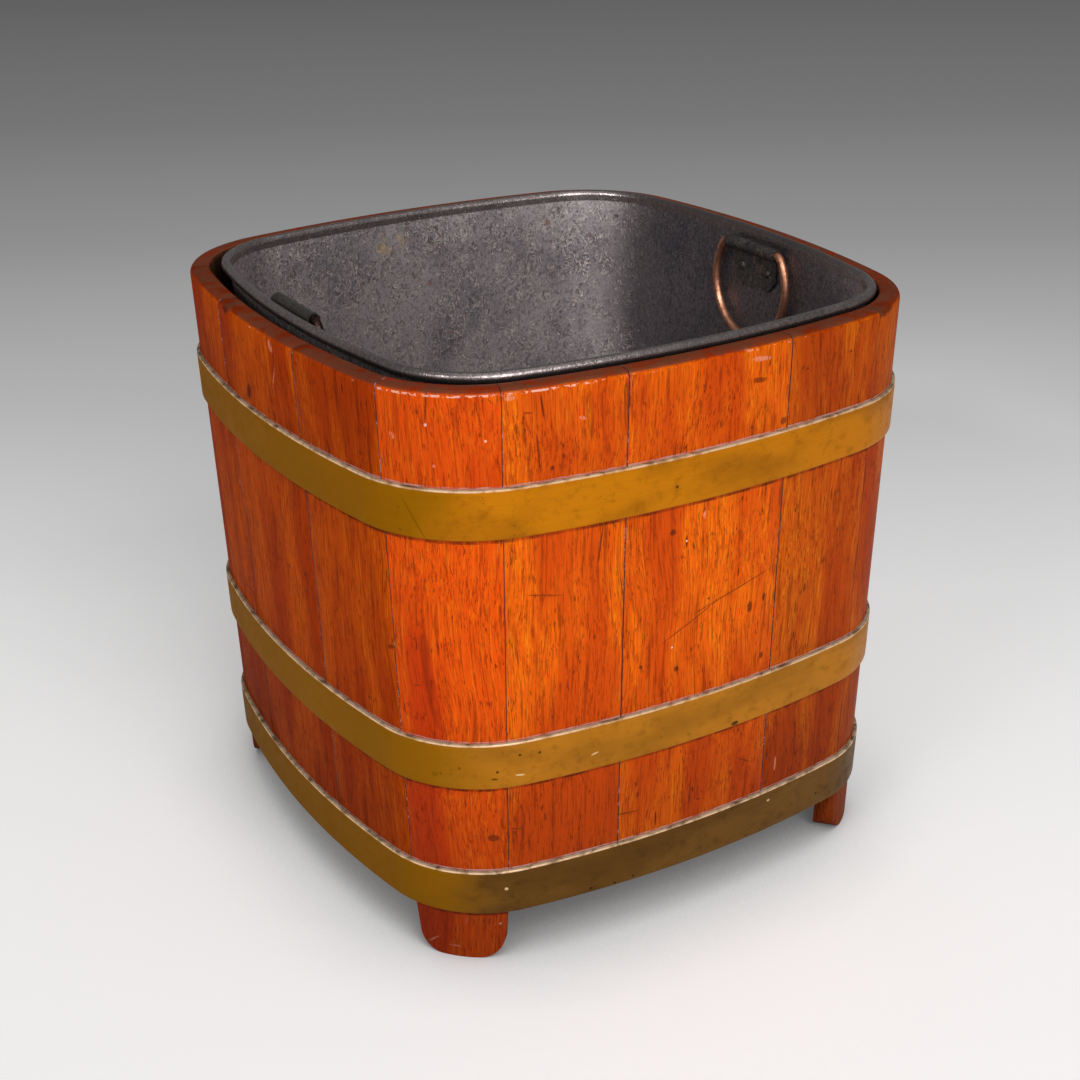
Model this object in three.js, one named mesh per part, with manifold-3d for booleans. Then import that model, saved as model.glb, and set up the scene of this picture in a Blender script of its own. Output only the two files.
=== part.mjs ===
// A coopered coal bucket. Sixteen hardwood staves stand in a rounded square under three
// brass hoops, and the four corner staves run down as feet. A dowelled base is held in the
// croze, the groove cut round the inside of the staves. A loose sheet-iron liner with a
// wired rim stands on the base, and a ring handle hangs at each end of it.
// Millimetres, +Z up. The origin is on the ground, at the centre of the four feet.
import * as THREE from 'three';
import { mergeVertices } from 'three/addons/utils/BufferGeometryUtils.js';
import Module from 'manifold-3d';

const wasm = await Module();
wasm.setup();

const rad = THREE.MathUtils.degToRad;

// ---- Driving dimensions of the tub ---------------------------------------------------
const WIDTH = 400;             // outside, side to side, at the rim
const DEPTH = 404;             // outside, front to back, at the rim
const HEIGHT = 382;            // ground to the rim of the staves
const SIDE_RADIUS = 700;       // the four sides are flat arcs
const CORNER_RADIUS = 84;      // the rounded corners, outside, at the rim
const SLOPE = 0.036;           // how far the wall leans in for each mm down
const WALL = 14;               // stave thickness
const FOOT_HEIGHT = 38;        // ground to the ends of the plain staves
const SIDE_SEAM = 57;          // half the width of each middle stave
const CORNER_SEAM_X = rad(21.5);   // where the corner staves start on the end walls
const CORNER_SEAM_Y = rad(18.2);   // where they start on the front and back walls
const JOINT_GAP = 0.3;         // between two staves
const RIM_ROUND_OUT = 4;       // worn edges of the rim
const RIM_ROUND_IN = 3;
const CHIME_BEVEL = 4;         // inside edge at the ends of the plain staves

// ---- Feet ----------------------------------------------------------------------------
const FOOT_INSET = 0.5;        // each foot is this much narrower than its stave, each side
const FOOT_DRAFT = 2.5;        // and draws in this much more at the ground
const FOOT_CORNER = 16;        // rounded lower corners

// ---- Base ----------------------------------------------------------------------------
const BOARD_COUNT = 3;
const BOARD_THICKNESS = 14;
const BOARD_RISE = 15;         // stave ends to the underside of the base
const BOARD_EDGE_GAP = 0.8;    // boards to the inside of the staves
const TONGUE = 6;              // edge of the boards that stands in the croze
const CROZE_DEPTH = 4.5;
const SEAT_GAP = 0.3;          // between pieces that rest on or against each other
const DOWEL_RADIUS = 4;
const DOWEL_LENGTH = 36;
const DOWEL_SPACING = 170;     // between the two dowels of one joint

// ---- Hoops ---------------------------------------------------------------------------
const HOOP_WIDTH = 31;
const HOOP_THICKNESS = 2.2;
const HOOP_ARRIS = 0.6;        // broken edges of the strip
const HOOP_DROPS = { hoop_top: 57.6, hoop_middle: 223, hoop_bottom: 315 };   // rim to upper edge

// ---- Liner ---------------------------------------------------------------------------
const SHEET = 1;
const WIRE_RADIUS = 2.1;
const WIRE_GAP = 0.4;          // wire to the sheet rolled round it
const LINER_GAP = 4;           // rolled rim to the inside of the staves, all round
const LINER_SHIFT_X = 2.4;     // the liner stands a little off centre
const LINER_SHIFT_Y = -2;
const BEAD_RISE = 0.5;         // rim of the staves to the centre of the rolled rim, upwards
const FLANGE = 10;             // turned in at the foot of the liner to carry its bottom
const LAP_THICKNESS = 0.9;     // lapped seam at the middle of each end
const LAP_WIDTH = 24;

// ---- Handles -------------------------------------------------------------------------
const LEFT_DROP = -1;          // centre of the rolled rim to the left handle's hinge line
const RIGHT_DROP = 8;          // the right handle hangs lower
const HANDLE_SHIFT = 6.5;      // each handle stands this far off the middle of its end
const RING_RADIUS = 39.5;      // centre line of the ring
const RING_WIRE = 2.9;
const RING_HANG = 25;          // hinge line to the ring's centre
const RING_BEND = 6;           // bend where the ring enters its sleeve
const RING_PARTING = 1;        // the ring's ends meet inside the sleeve
const HINGE_GAP = 0.35;        // ring wire to its sleeve
const PLATE_SHEET = 1.2;
const PLATE_WIDTH = 47;
const PLATE_DROP = 29;         // hinge line to the plate's lower edge
const PLATE_CHAMFER = 8;
const SLEEVE_END_GAP = 0.7;    // sleeve to the start of the ring's bend
const RIVET_SPACING = 28;
const RIVET_DROP = 16;         // hinge line to the rivets
const RIVET_SHANK = 1.6;
const RIVET_HEAD = 3.4;
const RIVET_DOME = 1.7;
const RIVET_CLENCH = 1;        // flat head behind the liner's wall
const SLEEVE_CURL = rad(-125); // where the rolled sheet stops
const ROLL_CURL = rad(-115);   // where the rolled rim of the liner stops

// ---- Fineness of the facets ----------------------------------------------------------
const SIDE_FACET = rad(2.7);
const CORNER_FACET = rad(10);
const WIRE_SIDES = 8;
const RING_SIDES = 10;
const RING_STEPS = 22;         // round the ring
const BEND_STEPS = 3;          // round each of its two bends
const PIN_SIDES = 12;          // dowels, rivets and their holes

const OAK = { color: 0x9c3f12, roughness: 0.35, metalness: 0 };
const BRASS = { color: 0x8f6a2a, roughness: 0.4, metalness: 1 };
const IRON = { color: 0x35332f, roughness: 0.55, metalness: 0.6 };
const COPPER = { color: 0xb0704c, roughness: 0.35, metalness: 1 };

const UP = new THREE.Vector3(0, 0, 1);

// ---- Solids --------------------------------------------------------------------------
function closed(geometry) {
  const bare = geometry.index ? geometry.toNonIndexed() : geometry.clone();
  for (const name of ['normal', 'uv']) bare.deleteAttribute(name);
  return mergeVertices(bare, 1e-4);
}

function manifold(geometry) {
  const merged = closed(geometry);
  const vertProperties = Float32Array.from(merged.attributes.position.array);
  const triVerts = Uint32Array.from(merged.index.array);
  return new wasm.Manifold(new wasm.Mesh({ numProp: 3, vertProperties, triVerts }));
}

function geometryOf(solid) {
  const mesh = solid.getMesh();
  const geometry = new THREE.BufferGeometry();
  geometry.setAttribute('position', new THREE.BufferAttribute(mesh.vertProperties, 3));
  geometry.setIndex(new THREE.BufferAttribute(mesh.triVerts, 1));
  return geometry;
}

function piece(name, geometry, finish) {
  const indexed = geometry.index ? geometry : closed(geometry);
  indexed.computeVertexNormals();
  const mesh = new THREE.Mesh(indexed, new THREE.MeshStandardMaterial(finish));
  mesh.name = name;
  return mesh;
}

// A rod along +Z from `low` to `high`, closed by its ends.
function rod(radius, low, high, sides) {
  const outline = [[0, low], [radius, low], [radius, high], [0, high]];
  const lathe = new THREE.LatheGeometry(outline.map(([r, z]) => new THREE.Vector2(r, z)), sides);
  return lathe.rotateX(Math.PI / 2);
}

// ---- Paths ---------------------------------------------------------------------------
// An arc of a circle in the plane of the unit vectors u and v.
class Arc extends THREE.Curve {
  constructor(centre, radius, from, to, u, v) {
    super();
    Object.assign(this, { centre, radius, from, to, u, v });
  }

  around(angle, scale) {
    const alongU = this.u.clone().multiplyScalar(Math.cos(angle) * scale);
    return alongU.addScaledVector(this.v, Math.sin(angle) * scale);
  }

  getPoint(t, target = new THREE.Vector3()) {
    const angle = THREE.MathUtils.lerp(this.from, this.to, t);
    return target.copy(this.centre).add(this.around(angle, this.radius));
  }

  getTangent(t, target = new THREE.Vector3()) {
    const angle = THREE.MathUtils.lerp(this.from, this.to, t) + Math.PI / 2;
    return target.copy(this.around(angle, Math.sign(this.to - this.from)));
  }
}

// Several curves end to end, each cut into its own number of steps.
class SteppedPath extends THREE.Curve {
  legs = [];
  count = 0;

  add(curve, steps) {
    this.legs.push({ curve, steps, start: this.count });
    this.count += steps;
  }

  locate(t) {
    const step = t * this.count;
    const leg = this.legs.findLast((each) => each.start <= step + 1e-6) ?? this.legs[0];
    return [leg.curve, THREE.MathUtils.clamp((step - leg.start) / leg.steps, 0, 1)];
  }

  getPoint(t, target = new THREE.Vector3()) {
    const [curve, local] = this.locate(t);
    return curve.getPoint(local, target);
  }

  getTangent(t, target = new THREE.Vector3()) {
    const [curve, local] = this.locate(t);
    return curve.getTangent(local, target);
  }

  getUtoTmapping(u) {
    return u;
  }
}

// ---- Plan of the walls ---------------------------------------------------------------
// The outline is known by the direction that the wall faces: an angle from +X. Four flat
// side arcs are joined by four corner arcs, tangent to both.
const sideCentreX = WIDTH / 2 - SIDE_RADIUS;
const sideCentreY = DEPTH / 2 - SIDE_RADIUS;
const cornerCentre = (() => {
  const span = Math.hypot(sideCentreX, sideCentreY);
  const reach = Math.sqrt((SIDE_RADIUS - CORNER_RADIUS) ** 2 - (span / 2) ** 2) / span;
  return [sideCentreX / 2 - sideCentreY * reach, sideCentreY / 2 - sideCentreX * reach];
})();
const joinX = Math.atan2(cornerCentre[1], cornerCentre[0] - sideCentreX);
const joinY = Math.PI / 2 - Math.atan2(cornerCentre[1] - sideCentreY, cornerCentre[0]);
const seamAngle = Math.asin(SIDE_SEAM / SIDE_RADIUS);

const quarter = [
  { angle: seamAngle, seam: true },
  { angle: joinX, seam: false },
  { angle: CORNER_SEAM_X, seam: true },
  { angle: Math.PI / 2 - CORNER_SEAM_Y, seam: true },
  { angle: Math.PI / 2 - joinY, seam: false },
  { angle: Math.PI / 2 - seamAngle, seam: true },
];
const mirrored = (turn) => quarter.toReversed().map((b) => ({ ...b, angle: turn - b.angle }));
const turned = (turn) => quarter.map((b) => ({ ...b, angle: turn + b.angle }));
const breaks = [...quarter, ...mirrored(Math.PI), ...turned(Math.PI), ...mirrored(2 * Math.PI)];
breaks.push({ ...breaks[0], angle: breaks[0].angle + 2 * Math.PI });

// The arc of the outline that holds a given facing direction.
function arcAt(angle) {
  const facing = new THREE.Vector2(Math.cos(angle), Math.sin(angle));
  const fromX = Math.atan2(Math.abs(facing.y), Math.abs(facing.x));
  const sign = [Math.sign(facing.x), Math.sign(facing.y)];
  if (fromX < joinX) return { centre: [sign[0] * sideCentreX, 0], radius: SIDE_RADIUS };
  if (Math.PI / 2 - fromX < joinY) return { centre: [0, sign[1] * sideCentreY], radius: SIDE_RADIUS };
  const centre = cornerCentre.map((value, axis) => value * sign[axis]);
  return { centre, radius: CORNER_RADIUS };
}

function wallPoint(angle, offset) {
  const { centre, radius } = arcAt(angle);
  const reach = radius + offset;
  return [centre[0] + reach * Math.cos(angle), centre[1] + reach * Math.sin(angle)];
}

// The path along the outside of the rim between two breaks, shortened at both ends.
function wallPath(first, last, endGap) {
  const path = new SteppedPath();
  for (let i = first; i < last; i += 1) {
    const { centre, radius } = arcAt((breaks[i].angle + breaks[i + 1].angle) / 2);
    const span = breaks[i + 1].angle - breaks[i].angle;
    const facet = radius === SIDE_RADIUS ? SIDE_FACET : CORNER_FACET;
    const from = breaks[i].angle + (i === first ? endGap / radius : 0);
    const to = breaks[i + 1].angle - (i === last - 1 ? endGap / radius : 0);
    const middle = new THREE.Vector3(centre[0], centre[1], 0);
    const arc = new Arc(middle, radius, from, to, new THREE.Vector3(1, 0, 0), new THREE.Vector3(0, 1, 0));
    path.add(arc, 2 * Math.ceil(span / facet / 2));
  }
  return path;
}

// Sweeps an upright section along a wall path. Section points are [offset, z], with the
// offset measured outwards from the outside of the rim.
function sweep(section, path) {
  const shape = new THREE.Shape(section.map(([offset, z]) => new THREE.Vector2(-z, -offset)));
  return new THREE.ExtrudeGeometry(shape, { steps: path.count, extrudePath: path });
}

// The same, all the way round: the path closes on itself, so the end faces are left out.
function sweepRound(section) {
  const swept = sweep(section, wallPath(0, breaks.length - 1, 0));
  const walls = swept.groups.find((group) => group.materialIndex === 1);
  const kept = swept.attributes.position.array.slice(3 * walls.start, 3 * (walls.start + walls.count));
  const ring = new THREE.BufferGeometry();
  ring.setAttribute('position', new THREE.BufferAttribute(kept, 3));
  return mergeVertices(ring, 1e-3);
}

function facingAngles() {
  const angles = [];
  for (const leg of wallPath(0, breaks.length - 1, 0).legs) {
    for (let k = 0; k < leg.steps; k += 1) {
      angles.push(THREE.MathUtils.lerp(leg.curve.from, leg.curve.to, k / leg.steps));
    }
  }
  return angles;
}

// A flat plate with the plan outline moved by `offset`, from `low` to `high`.
function plate(offset, low, high) {
  const outline = facingAngles().map((angle) => new THREE.Vector2(...wallPoint(angle, offset)));
  const options = { depth: high - low, bevelEnabled: false };
  return new THREE.ExtrudeGeometry(new THREE.Shape(outline), options).translate(0, 0, low);
}

const lean = (z) => -SLOPE * (HEIGHT - z);

function arcPoints(centre, radius, from, to, steps) {
  return Array.from({ length: steps + 1 }, (_, k) => {
    const angle = THREE.MathUtils.lerp(from, to, k / steps);
    return [centre[0] + radius * Math.cos(angle), centre[1] + radius * Math.sin(angle)];
  });
}

// ---- Staves --------------------------------------------------------------------------
const boardBottom = FOOT_HEIGHT + BOARD_RISE;
const boardTop = boardBottom + BOARD_THICKNESS;
const tongueBottom = boardBottom + (BOARD_THICKNESS - TONGUE) / 2;
const tongueTop = tongueBottom + TONGUE;

function staveSection(bottom, bevel) {
  const inside = (z) => lean(z) - WALL;
  const crozeTop = tongueTop + SEAT_GAP;
  const crozeBottom = tongueBottom - SEAT_GAP;
  const outEdge = [lean(HEIGHT - RIM_ROUND_OUT) - RIM_ROUND_OUT, HEIGHT - RIM_ROUND_OUT];
  const inEdge = [inside(HEIGHT - RIM_ROUND_IN) + RIM_ROUND_IN, HEIGHT - RIM_ROUND_IN];
  return [
    [lean(bottom), bottom],
    ...arcPoints(outEdge, RIM_ROUND_OUT, 0, Math.PI / 2, 3),
    ...arcPoints(inEdge, RIM_ROUND_IN, Math.PI / 2, Math.PI, 2),
    [inside(crozeTop), crozeTop],
    [inside(crozeTop) + CROZE_DEPTH, crozeTop],
    [inside(crozeBottom) + CROZE_DEPTH, crozeBottom],
    [inside(crozeBottom), crozeBottom],
    [inside(bottom + bevel), bottom + bevel],
    [inside(bottom) + bevel / 2, bottom],
  ];
}

// The outline that cuts a foot, seen square to its stave: across the stave, then up. The
// foot draws in from `left` and `right` towards rounded lower corners.
function footOutline(left, right) {
  const above = HEIGHT + SEAT_GAP;
  const [soleLeft, soleRight] = [left + FOOT_DRAFT, right - FOOT_DRAFT];
  const shape = new THREE.Shape();
  shape.moveTo(-WIDTH, above);
  shape.lineTo(-WIDTH, FOOT_HEIGHT);
  shape.lineTo(left, FOOT_HEIGHT);
  shape.lineTo(soleLeft, FOOT_CORNER);
  shape.absarc(soleLeft + FOOT_CORNER, FOOT_CORNER, FOOT_CORNER, Math.PI, 1.5 * Math.PI, false);
  shape.absarc(soleRight - FOOT_CORNER, FOOT_CORNER, FOOT_CORNER, -Math.PI / 2, 0, false);
  shape.lineTo(right, FOOT_HEIGHT);
  shape.lineTo(WIDTH, FOOT_HEIGHT);
  shape.lineTo(WIDTH, above);
  return shape;
}

// A corner stave runs to the ground, and its end is cut to the outline of a foot.
function cornerStave(first, last) {
  const blank = manifold(sweep(staveSection(0, 0), wallPath(first, last, JOINT_GAP / 2)));
  const facing = (breaks[first].angle + breaks[last].angle) / 2;
  const across = [breaks[first], breaks[last]].map(({ angle }) => {
    const [x, y] = wallPoint(angle, lean(FOOT_HEIGHT));
    return y * Math.cos(facing) - x * Math.sin(facing);
  });
  const outline = footOutline(across[0] + FOOT_INSET, across[1] - FOOT_INSET);
  const options = { depth: WIDTH + DEPTH, bevelEnabled: false, curveSegments: 4 };
  const cutter = new THREE.ExtrudeGeometry(outline, options);
  cutter.rotateX(Math.PI / 2).rotateZ(facing + Math.PI / 2);
  return geometryOf(blank.intersect(manifold(cutter)));
}

const staveNames = [
  'stave_right_back', 'stave_corner_back_right', 'stave_back_right', 'stave_back_middle',
  'stave_back_left', 'stave_corner_back_left', 'stave_left_back', 'stave_left_middle',
  'stave_left_front', 'stave_corner_front_left', 'stave_front_left', 'stave_front_middle',
  'stave_front_right', 'stave_corner_front_right', 'stave_right_front', 'stave_right_middle',
];

function makeStaves() {
  const seams = breaks.map((each, index) => (each.seam ? index : -1)).filter((index) => index >= 0);
  return staveNames.map((name, k) => {
    const [first, last] = [seams[k], seams[k + 1]];
    if (name.includes('corner')) return piece(name, cornerStave(first, last), OAK);
    const plain = sweep(staveSection(FOOT_HEIGHT, CHIME_BEVEL), wallPath(first, last, JOINT_GAP / 2));
    return piece(name, plain, OAK);
  });
}

// ---- Base ----------------------------------------------------------------------------
function makeBase() {
  const inside = lean(boardBottom) - WALL;
  const body = plate(inside - BOARD_EDGE_GAP, boardBottom, boardTop);
  const tongue = plate(inside + CROZE_DEPTH - BOARD_EDGE_GAP, tongueBottom, tongueTop);
  const whole = manifold(body).add(manifold(tongue));
  const pitch = (DEPTH + 2 * inside) / BOARD_COUNT;
  const joints = Array.from({ length: BOARD_COUNT - 1 }, (_, k) => (k + 1 - BOARD_COUNT / 2) * pitch);
  const dowels = joints.flatMap((y) => [-1, 1].map((side) => ({ x: side * DOWEL_SPACING / 2, y })));
  const along = (geometry, { x, y }) => {
    return geometry.rotateX(Math.PI / 2).translate(x, y, (boardBottom + boardTop) / 2);
  };
  let drilled = whole;
  for (const dowel of dowels) {
    const half = DOWEL_LENGTH / 2 + SEAT_GAP;
    const hole = rod(DOWEL_RADIUS + SEAT_GAP, -half, half, PIN_SIDES);
    drilled = drilled.subtract(manifold(along(hole, dowel)));
  }
  const edges = [-DEPTH, ...joints, DEPTH];
  const boards = edges.slice(1).map((edge, k) => {
    const width = edge - edges[k] - JOINT_GAP;
    const plank = new THREE.BoxGeometry(2 * WIDTH, width, 2 * BOARD_THICKNESS);
    plank.translate(0, (edge + edges[k]) / 2, (boardBottom + boardTop) / 2);
    return piece(`base_board_${k + 1}`, geometryOf(drilled.intersect(manifold(plank))), OAK);
  });
  const pins = dowels.map((dowel, k) => {
    const pin = along(rod(DOWEL_RADIUS, -DOWEL_LENGTH / 2, DOWEL_LENGTH / 2, PIN_SIDES), dowel);
    return piece(`base_dowel_${k + 1}`, pin, OAK);
  });
  return [...boards, ...pins];
}

// ---- Hoops ---------------------------------------------------------------------------
function makeHoop(name, drop) {
  const top = HEIGHT - drop;
  const bottom = top - HOOP_WIDTH;
  const back = (z) => lean(z) + SEAT_GAP;
  const face = (z) => back(z) + HOOP_THICKNESS;
  const section = [
    [back(bottom), bottom],
    [face(bottom) - HOOP_ARRIS, bottom],
    [face(bottom), bottom + HOOP_ARRIS],
    [face(top), top - HOOP_ARRIS],
    [face(top) - HOOP_ARRIS, top],
    [back(top), top],
  ];
  return piece(name, sweepRound(section), BRASS);
}

// ---- Liner ---------------------------------------------------------------------------
const beadRadius = WIRE_RADIUS + WIRE_GAP + SHEET;
const bead = [-WALL - LINER_GAP - beadRadius, HEIGHT + BEAD_RISE];
const linerFoot = boardTop + SEAT_GAP;
// Inside face of the liner's wall, which leans as the staves do.
const linerFace = (z) => bead[0] - beadRadius - SLOPE * (bead[1] - z);

function linerSection() {
  const flangeTop = linerFoot + SHEET;
  return [
    [linerFace(flangeTop) - FLANGE, linerFoot],
    [linerFace(linerFoot) + SHEET, linerFoot],
    ...arcPoints(bead, beadRadius - SHEET, Math.PI, ROLL_CURL, 7),
    ...arcPoints(bead, beadRadius, ROLL_CURL, Math.PI, 8),
    [linerFace(flangeTop), flangeTop],
    [linerFace(flangeTop) - FLANGE, flangeTop],
  ];
}

function makeRimWire() {
  const section = arcPoints(bead, WIRE_RADIUS, 0, 2 * Math.PI, WIRE_SIDES).slice(0, WIRE_SIDES);
  return piece('rim_wire', sweepRound(section), IRON);
}

function makeLinerBottom() {
  const low = linerFoot + SHEET + SEAT_GAP;
  return piece('liner_bottom', plate(linerFace(low) - SEAT_GAP, low, low + SHEET), IRON);
}

// ---- Handles -------------------------------------------------------------------------
// Each handle is set out in its own frame: the origin is on the inside face of the wall, x
// points into the liner, y runs along the wall and z runs up it.
const plateBack = LAP_THICKNESS + SEAT_GAP;
const sleeveInside = RING_WIRE + HINGE_GAP;
const hingeStand = plateBack + sleeveInside + PLATE_SHEET;
// Half the straight top of the ring: its bends lie against the inside of its circle.
const ringStraight = Math.sqrt((RING_RADIUS - RING_BEND) ** 2 - (RING_HANG - RING_BEND) ** 2);
const sleeveHalf = ringStraight - SLEEVE_END_GAP;

function handleFrame(end) {
  const height = bead[1] - end.drop;
  const frame = new THREE.Matrix4().makeRotationY(-Math.atan(SLOPE));
  frame.setPosition(-WIDTH / 2 - linerFace(height), HANDLE_SHIFT, height);
  return new THREE.Matrix4().makeRotationZ(end.turn).multiply(frame);
}

// The seam where one sheet of the wall laps inside the other, from the foot of the liner to
// the hinge line that lies `drop` below the rolled rim.
function lapSeam(drop) {
  const shape = new THREE.Shape();
  shape.moveTo(-SHEET / 2, 0);
  shape.lineTo(LAP_THICKNESS, 0);
  shape.lineTo(0, LAP_WIDTH);
  shape.lineTo(-SHEET / 2, LAP_WIDTH);
  const length = bead[1] - drop - linerFoot - 2 * SHEET - SEAT_GAP;
  const strip = new THREE.ExtrudeGeometry(shape, { depth: length, bevelEnabled: false });
  return strip.translate(0, 0, -length);
}

// A sheet comes up the wall and rolls over the ring's wire, and its lower corners are cut off.
function hingeLeaf() {
  const outer = sleeveInside + PLATE_SHEET;
  const front = plateBack + PLATE_SHEET;
  const profile = new THREE.Shape();
  profile.moveTo(plateBack, -PLATE_DROP);
  profile.lineTo(front, -PLATE_DROP);
  profile.lineTo(front, 0);
  profile.absarc(hingeStand, 0, sleeveInside, Math.PI, SLEEVE_CURL, true);
  profile.absarc(hingeStand, 0, outer, SLEEVE_CURL, Math.PI, false);
  const options = { depth: 2 * sleeveHalf, bevelEnabled: false, curveSegments: 14 };
  const rolled = new THREE.ExtrudeGeometry(profile, options);
  rolled.rotateX(Math.PI / 2).translate(0, sleeveHalf, 0);

  const half = PLATE_WIDTH / 2;
  const clear = sleeveHalf + PLATE_SHEET;
  const outline = new THREE.Shape();
  outline.moveTo(half - PLATE_CHAMFER, -PLATE_DROP);
  outline.lineTo(half, PLATE_CHAMFER - PLATE_DROP);
  outline.lineTo(half, -outer);
  outline.lineTo(clear, -outer);
  outline.lineTo(clear, 2 * outer);
  outline.lineTo(-clear, 2 * outer);
  outline.lineTo(-clear, -outer);
  outline.lineTo(-half, -outer);
  outline.lineTo(-half, PLATE_CHAMFER - PLATE_DROP);
  outline.lineTo(PLATE_CHAMFER - half, -PLATE_DROP);
  const cutter = new THREE.ExtrudeGeometry(outline, { depth: 4 * outer, bevelEnabled: false });
  cutter.rotateX(Math.PI / 2).rotateZ(Math.PI / 2);
  return manifold(rolled).intersect(manifold(cutter)).subtract(rivetHoles());
}

function rivetHoles() {
  const holes = [-1, 1].map((side) => {
    const hole = rod(RIVET_SHANK + SEAT_GAP, -hingeStand, hingeStand, PIN_SIDES);
    return manifold(hole.rotateY(Math.PI / 2).translate(0, side * RIVET_SPACING / 2, -RIVET_DROP));
  });
  return holes[0].add(holes[1]);
}

// A round head in front of the leaf, a shank through both sheets and a flat clench behind.
function rivet(side) {
  const front = plateBack + PLATE_SHEET + SEAT_GAP;
  const back = -SHEET - SEAT_GAP;
  const domeRadius = (RIVET_HEAD ** 2 + RIVET_DOME ** 2) / (2 * RIVET_DOME);
  const rise = Math.asin(RIVET_HEAD / domeRadius);
  const middle = [0, front + RIVET_DOME - domeRadius];
  const dome = arcPoints(middle, domeRadius, Math.PI / 2 - rise, Math.PI / 2, 3);
  const profile = [
    [0, back - RIVET_CLENCH],
    [RIVET_HEAD - RIVET_CLENCH, back - RIVET_CLENCH],
    [RIVET_HEAD - RIVET_CLENCH / 2, back],
    [RIVET_SHANK, back],
    [RIVET_SHANK, front],
    ...dome.slice(0, -1),
    [0, front + RIVET_DOME],
  ];
  const lathe = new THREE.LatheGeometry(profile.map(([r, x]) => new THREE.Vector2(r, x)), PIN_SIDES);
  return lathe.rotateZ(-Math.PI / 2).translate(0, side * RIVET_SPACING / 2, -RIVET_DROP);
}

// Wire bent to a ring with a flattened top, whose ends meet inside the sleeve.
function ring() {
  const along = new THREE.Vector3(0, 1, 0);
  const top = Math.PI / 2;
  const at = (y) => new THREE.Vector3(hingeStand, y, 0);
  const bend = (side) => new THREE.Vector3(hingeStand, side * ringStraight, -RING_BEND);
  const arc = (centre, radius, from, to) => new Arc(centre, radius, from, to, along, UP);
  // Where the bends run into the ring, seen from the ring's own centre.
  const tangent = Math.asin(ringStraight / (RING_RADIUS - RING_BEND));
  const centre = new THREE.Vector3(hingeStand, 0, -RING_HANG);
  const path = new SteppedPath();
  path.add(new THREE.LineCurve3(at(RING_PARTING / 2), at(ringStraight)), 1);
  path.add(arc(bend(1), RING_BEND, top, top - tangent), BEND_STEPS);
  path.add(arc(centre, RING_RADIUS, top - tangent, tangent - 3 * top), RING_STEPS);
  path.add(arc(bend(-1), RING_BEND, top + tangent, top), BEND_STEPS);
  path.add(new THREE.LineCurve3(at(-ringStraight), at(-RING_PARTING / 2)), 1);
  const outline = arcPoints([0, 0], RING_WIRE, 0, 2 * Math.PI, RING_SIDES).slice(0, RING_SIDES);
  const shape = new THREE.Shape(outline.map(([x, y]) => new THREE.Vector2(x, y)));
  return new THREE.ExtrudeGeometry(shape, { steps: path.count, extrudePath: path });
}

// ---- Assembly ------------------------------------------------------------------------
const ends = [
  { side: 'left', turn: 0, drop: LEFT_DROP },
  { side: 'right', turn: Math.PI, drop: RIGHT_DROP },
];

function makeHandle(end) {
  const handle = new THREE.Group();
  handle.applyMatrix4(handleFrame(end));
  handle.add(piece(`hinge_leaf_${end.side}`, geometryOf(hingeLeaf()), IRON));
  handle.add(piece(`ring_${end.side}`, ring(), COPPER));
  handle.add(piece(`rivet_${end.side}_1`, rivet(-1), IRON));
  handle.add(piece(`rivet_${end.side}_2`, rivet(1), IRON));
  return handle;
}

function makeLinerWall() {
  let wall = manifold(sweepRound(linerSection()));
  for (const end of ends) {
    const place = handleFrame(end);
    wall = wall.add(manifold(lapSeam(end.drop).applyMatrix4(place)));
    wall = wall.subtract(manifold(geometryOf(rivetHoles()).applyMatrix4(place)));
  }
  return piece('liner_wall', geometryOf(wall), IRON);
}

const tub = new THREE.Group();
tub.add(...makeStaves(), ...makeBase());
for (const [name, drop] of Object.entries(HOOP_DROPS)) tub.add(makeHoop(name, drop));

const liner = new THREE.Group();
liner.position.set(LINER_SHIFT_X, LINER_SHIFT_Y, 0);
liner.add(makeLinerWall(), makeLinerBottom(), makeRimWire(), ...ends.map(makeHandle));

const bucket = new THREE.Group();
bucket.add(tub, liner);

export default bucket;
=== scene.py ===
import logging
import math
from dataclasses import dataclass, field
from enum import Enum
from itertools import pairwise

import bmesh
import bpy
from mathutils import Matrix, Vector


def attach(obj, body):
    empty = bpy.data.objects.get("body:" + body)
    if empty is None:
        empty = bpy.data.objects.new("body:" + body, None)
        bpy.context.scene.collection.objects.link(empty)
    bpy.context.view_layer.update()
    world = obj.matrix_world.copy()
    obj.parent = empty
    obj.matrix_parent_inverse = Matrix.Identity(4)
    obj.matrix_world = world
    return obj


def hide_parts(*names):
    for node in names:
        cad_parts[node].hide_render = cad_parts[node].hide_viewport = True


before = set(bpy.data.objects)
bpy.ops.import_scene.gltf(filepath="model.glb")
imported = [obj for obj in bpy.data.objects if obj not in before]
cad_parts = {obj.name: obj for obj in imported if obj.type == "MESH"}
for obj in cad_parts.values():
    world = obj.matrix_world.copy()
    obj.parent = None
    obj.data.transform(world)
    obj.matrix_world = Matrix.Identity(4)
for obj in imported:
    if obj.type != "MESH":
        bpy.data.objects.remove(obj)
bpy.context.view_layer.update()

LOG = logging.getLogger("coal_bucket")
MM = 0.001
WOOD_TOP = 382 * MM
HOOP_WIDTH = 31 * MM

Section = list[tuple[float, float]]
Place = tuple[float, float, float]
Colour = tuple[float, float, float, float]
Socket = bpy.types.NodeSocket
Shape = bmesh.types.BMesh


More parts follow.
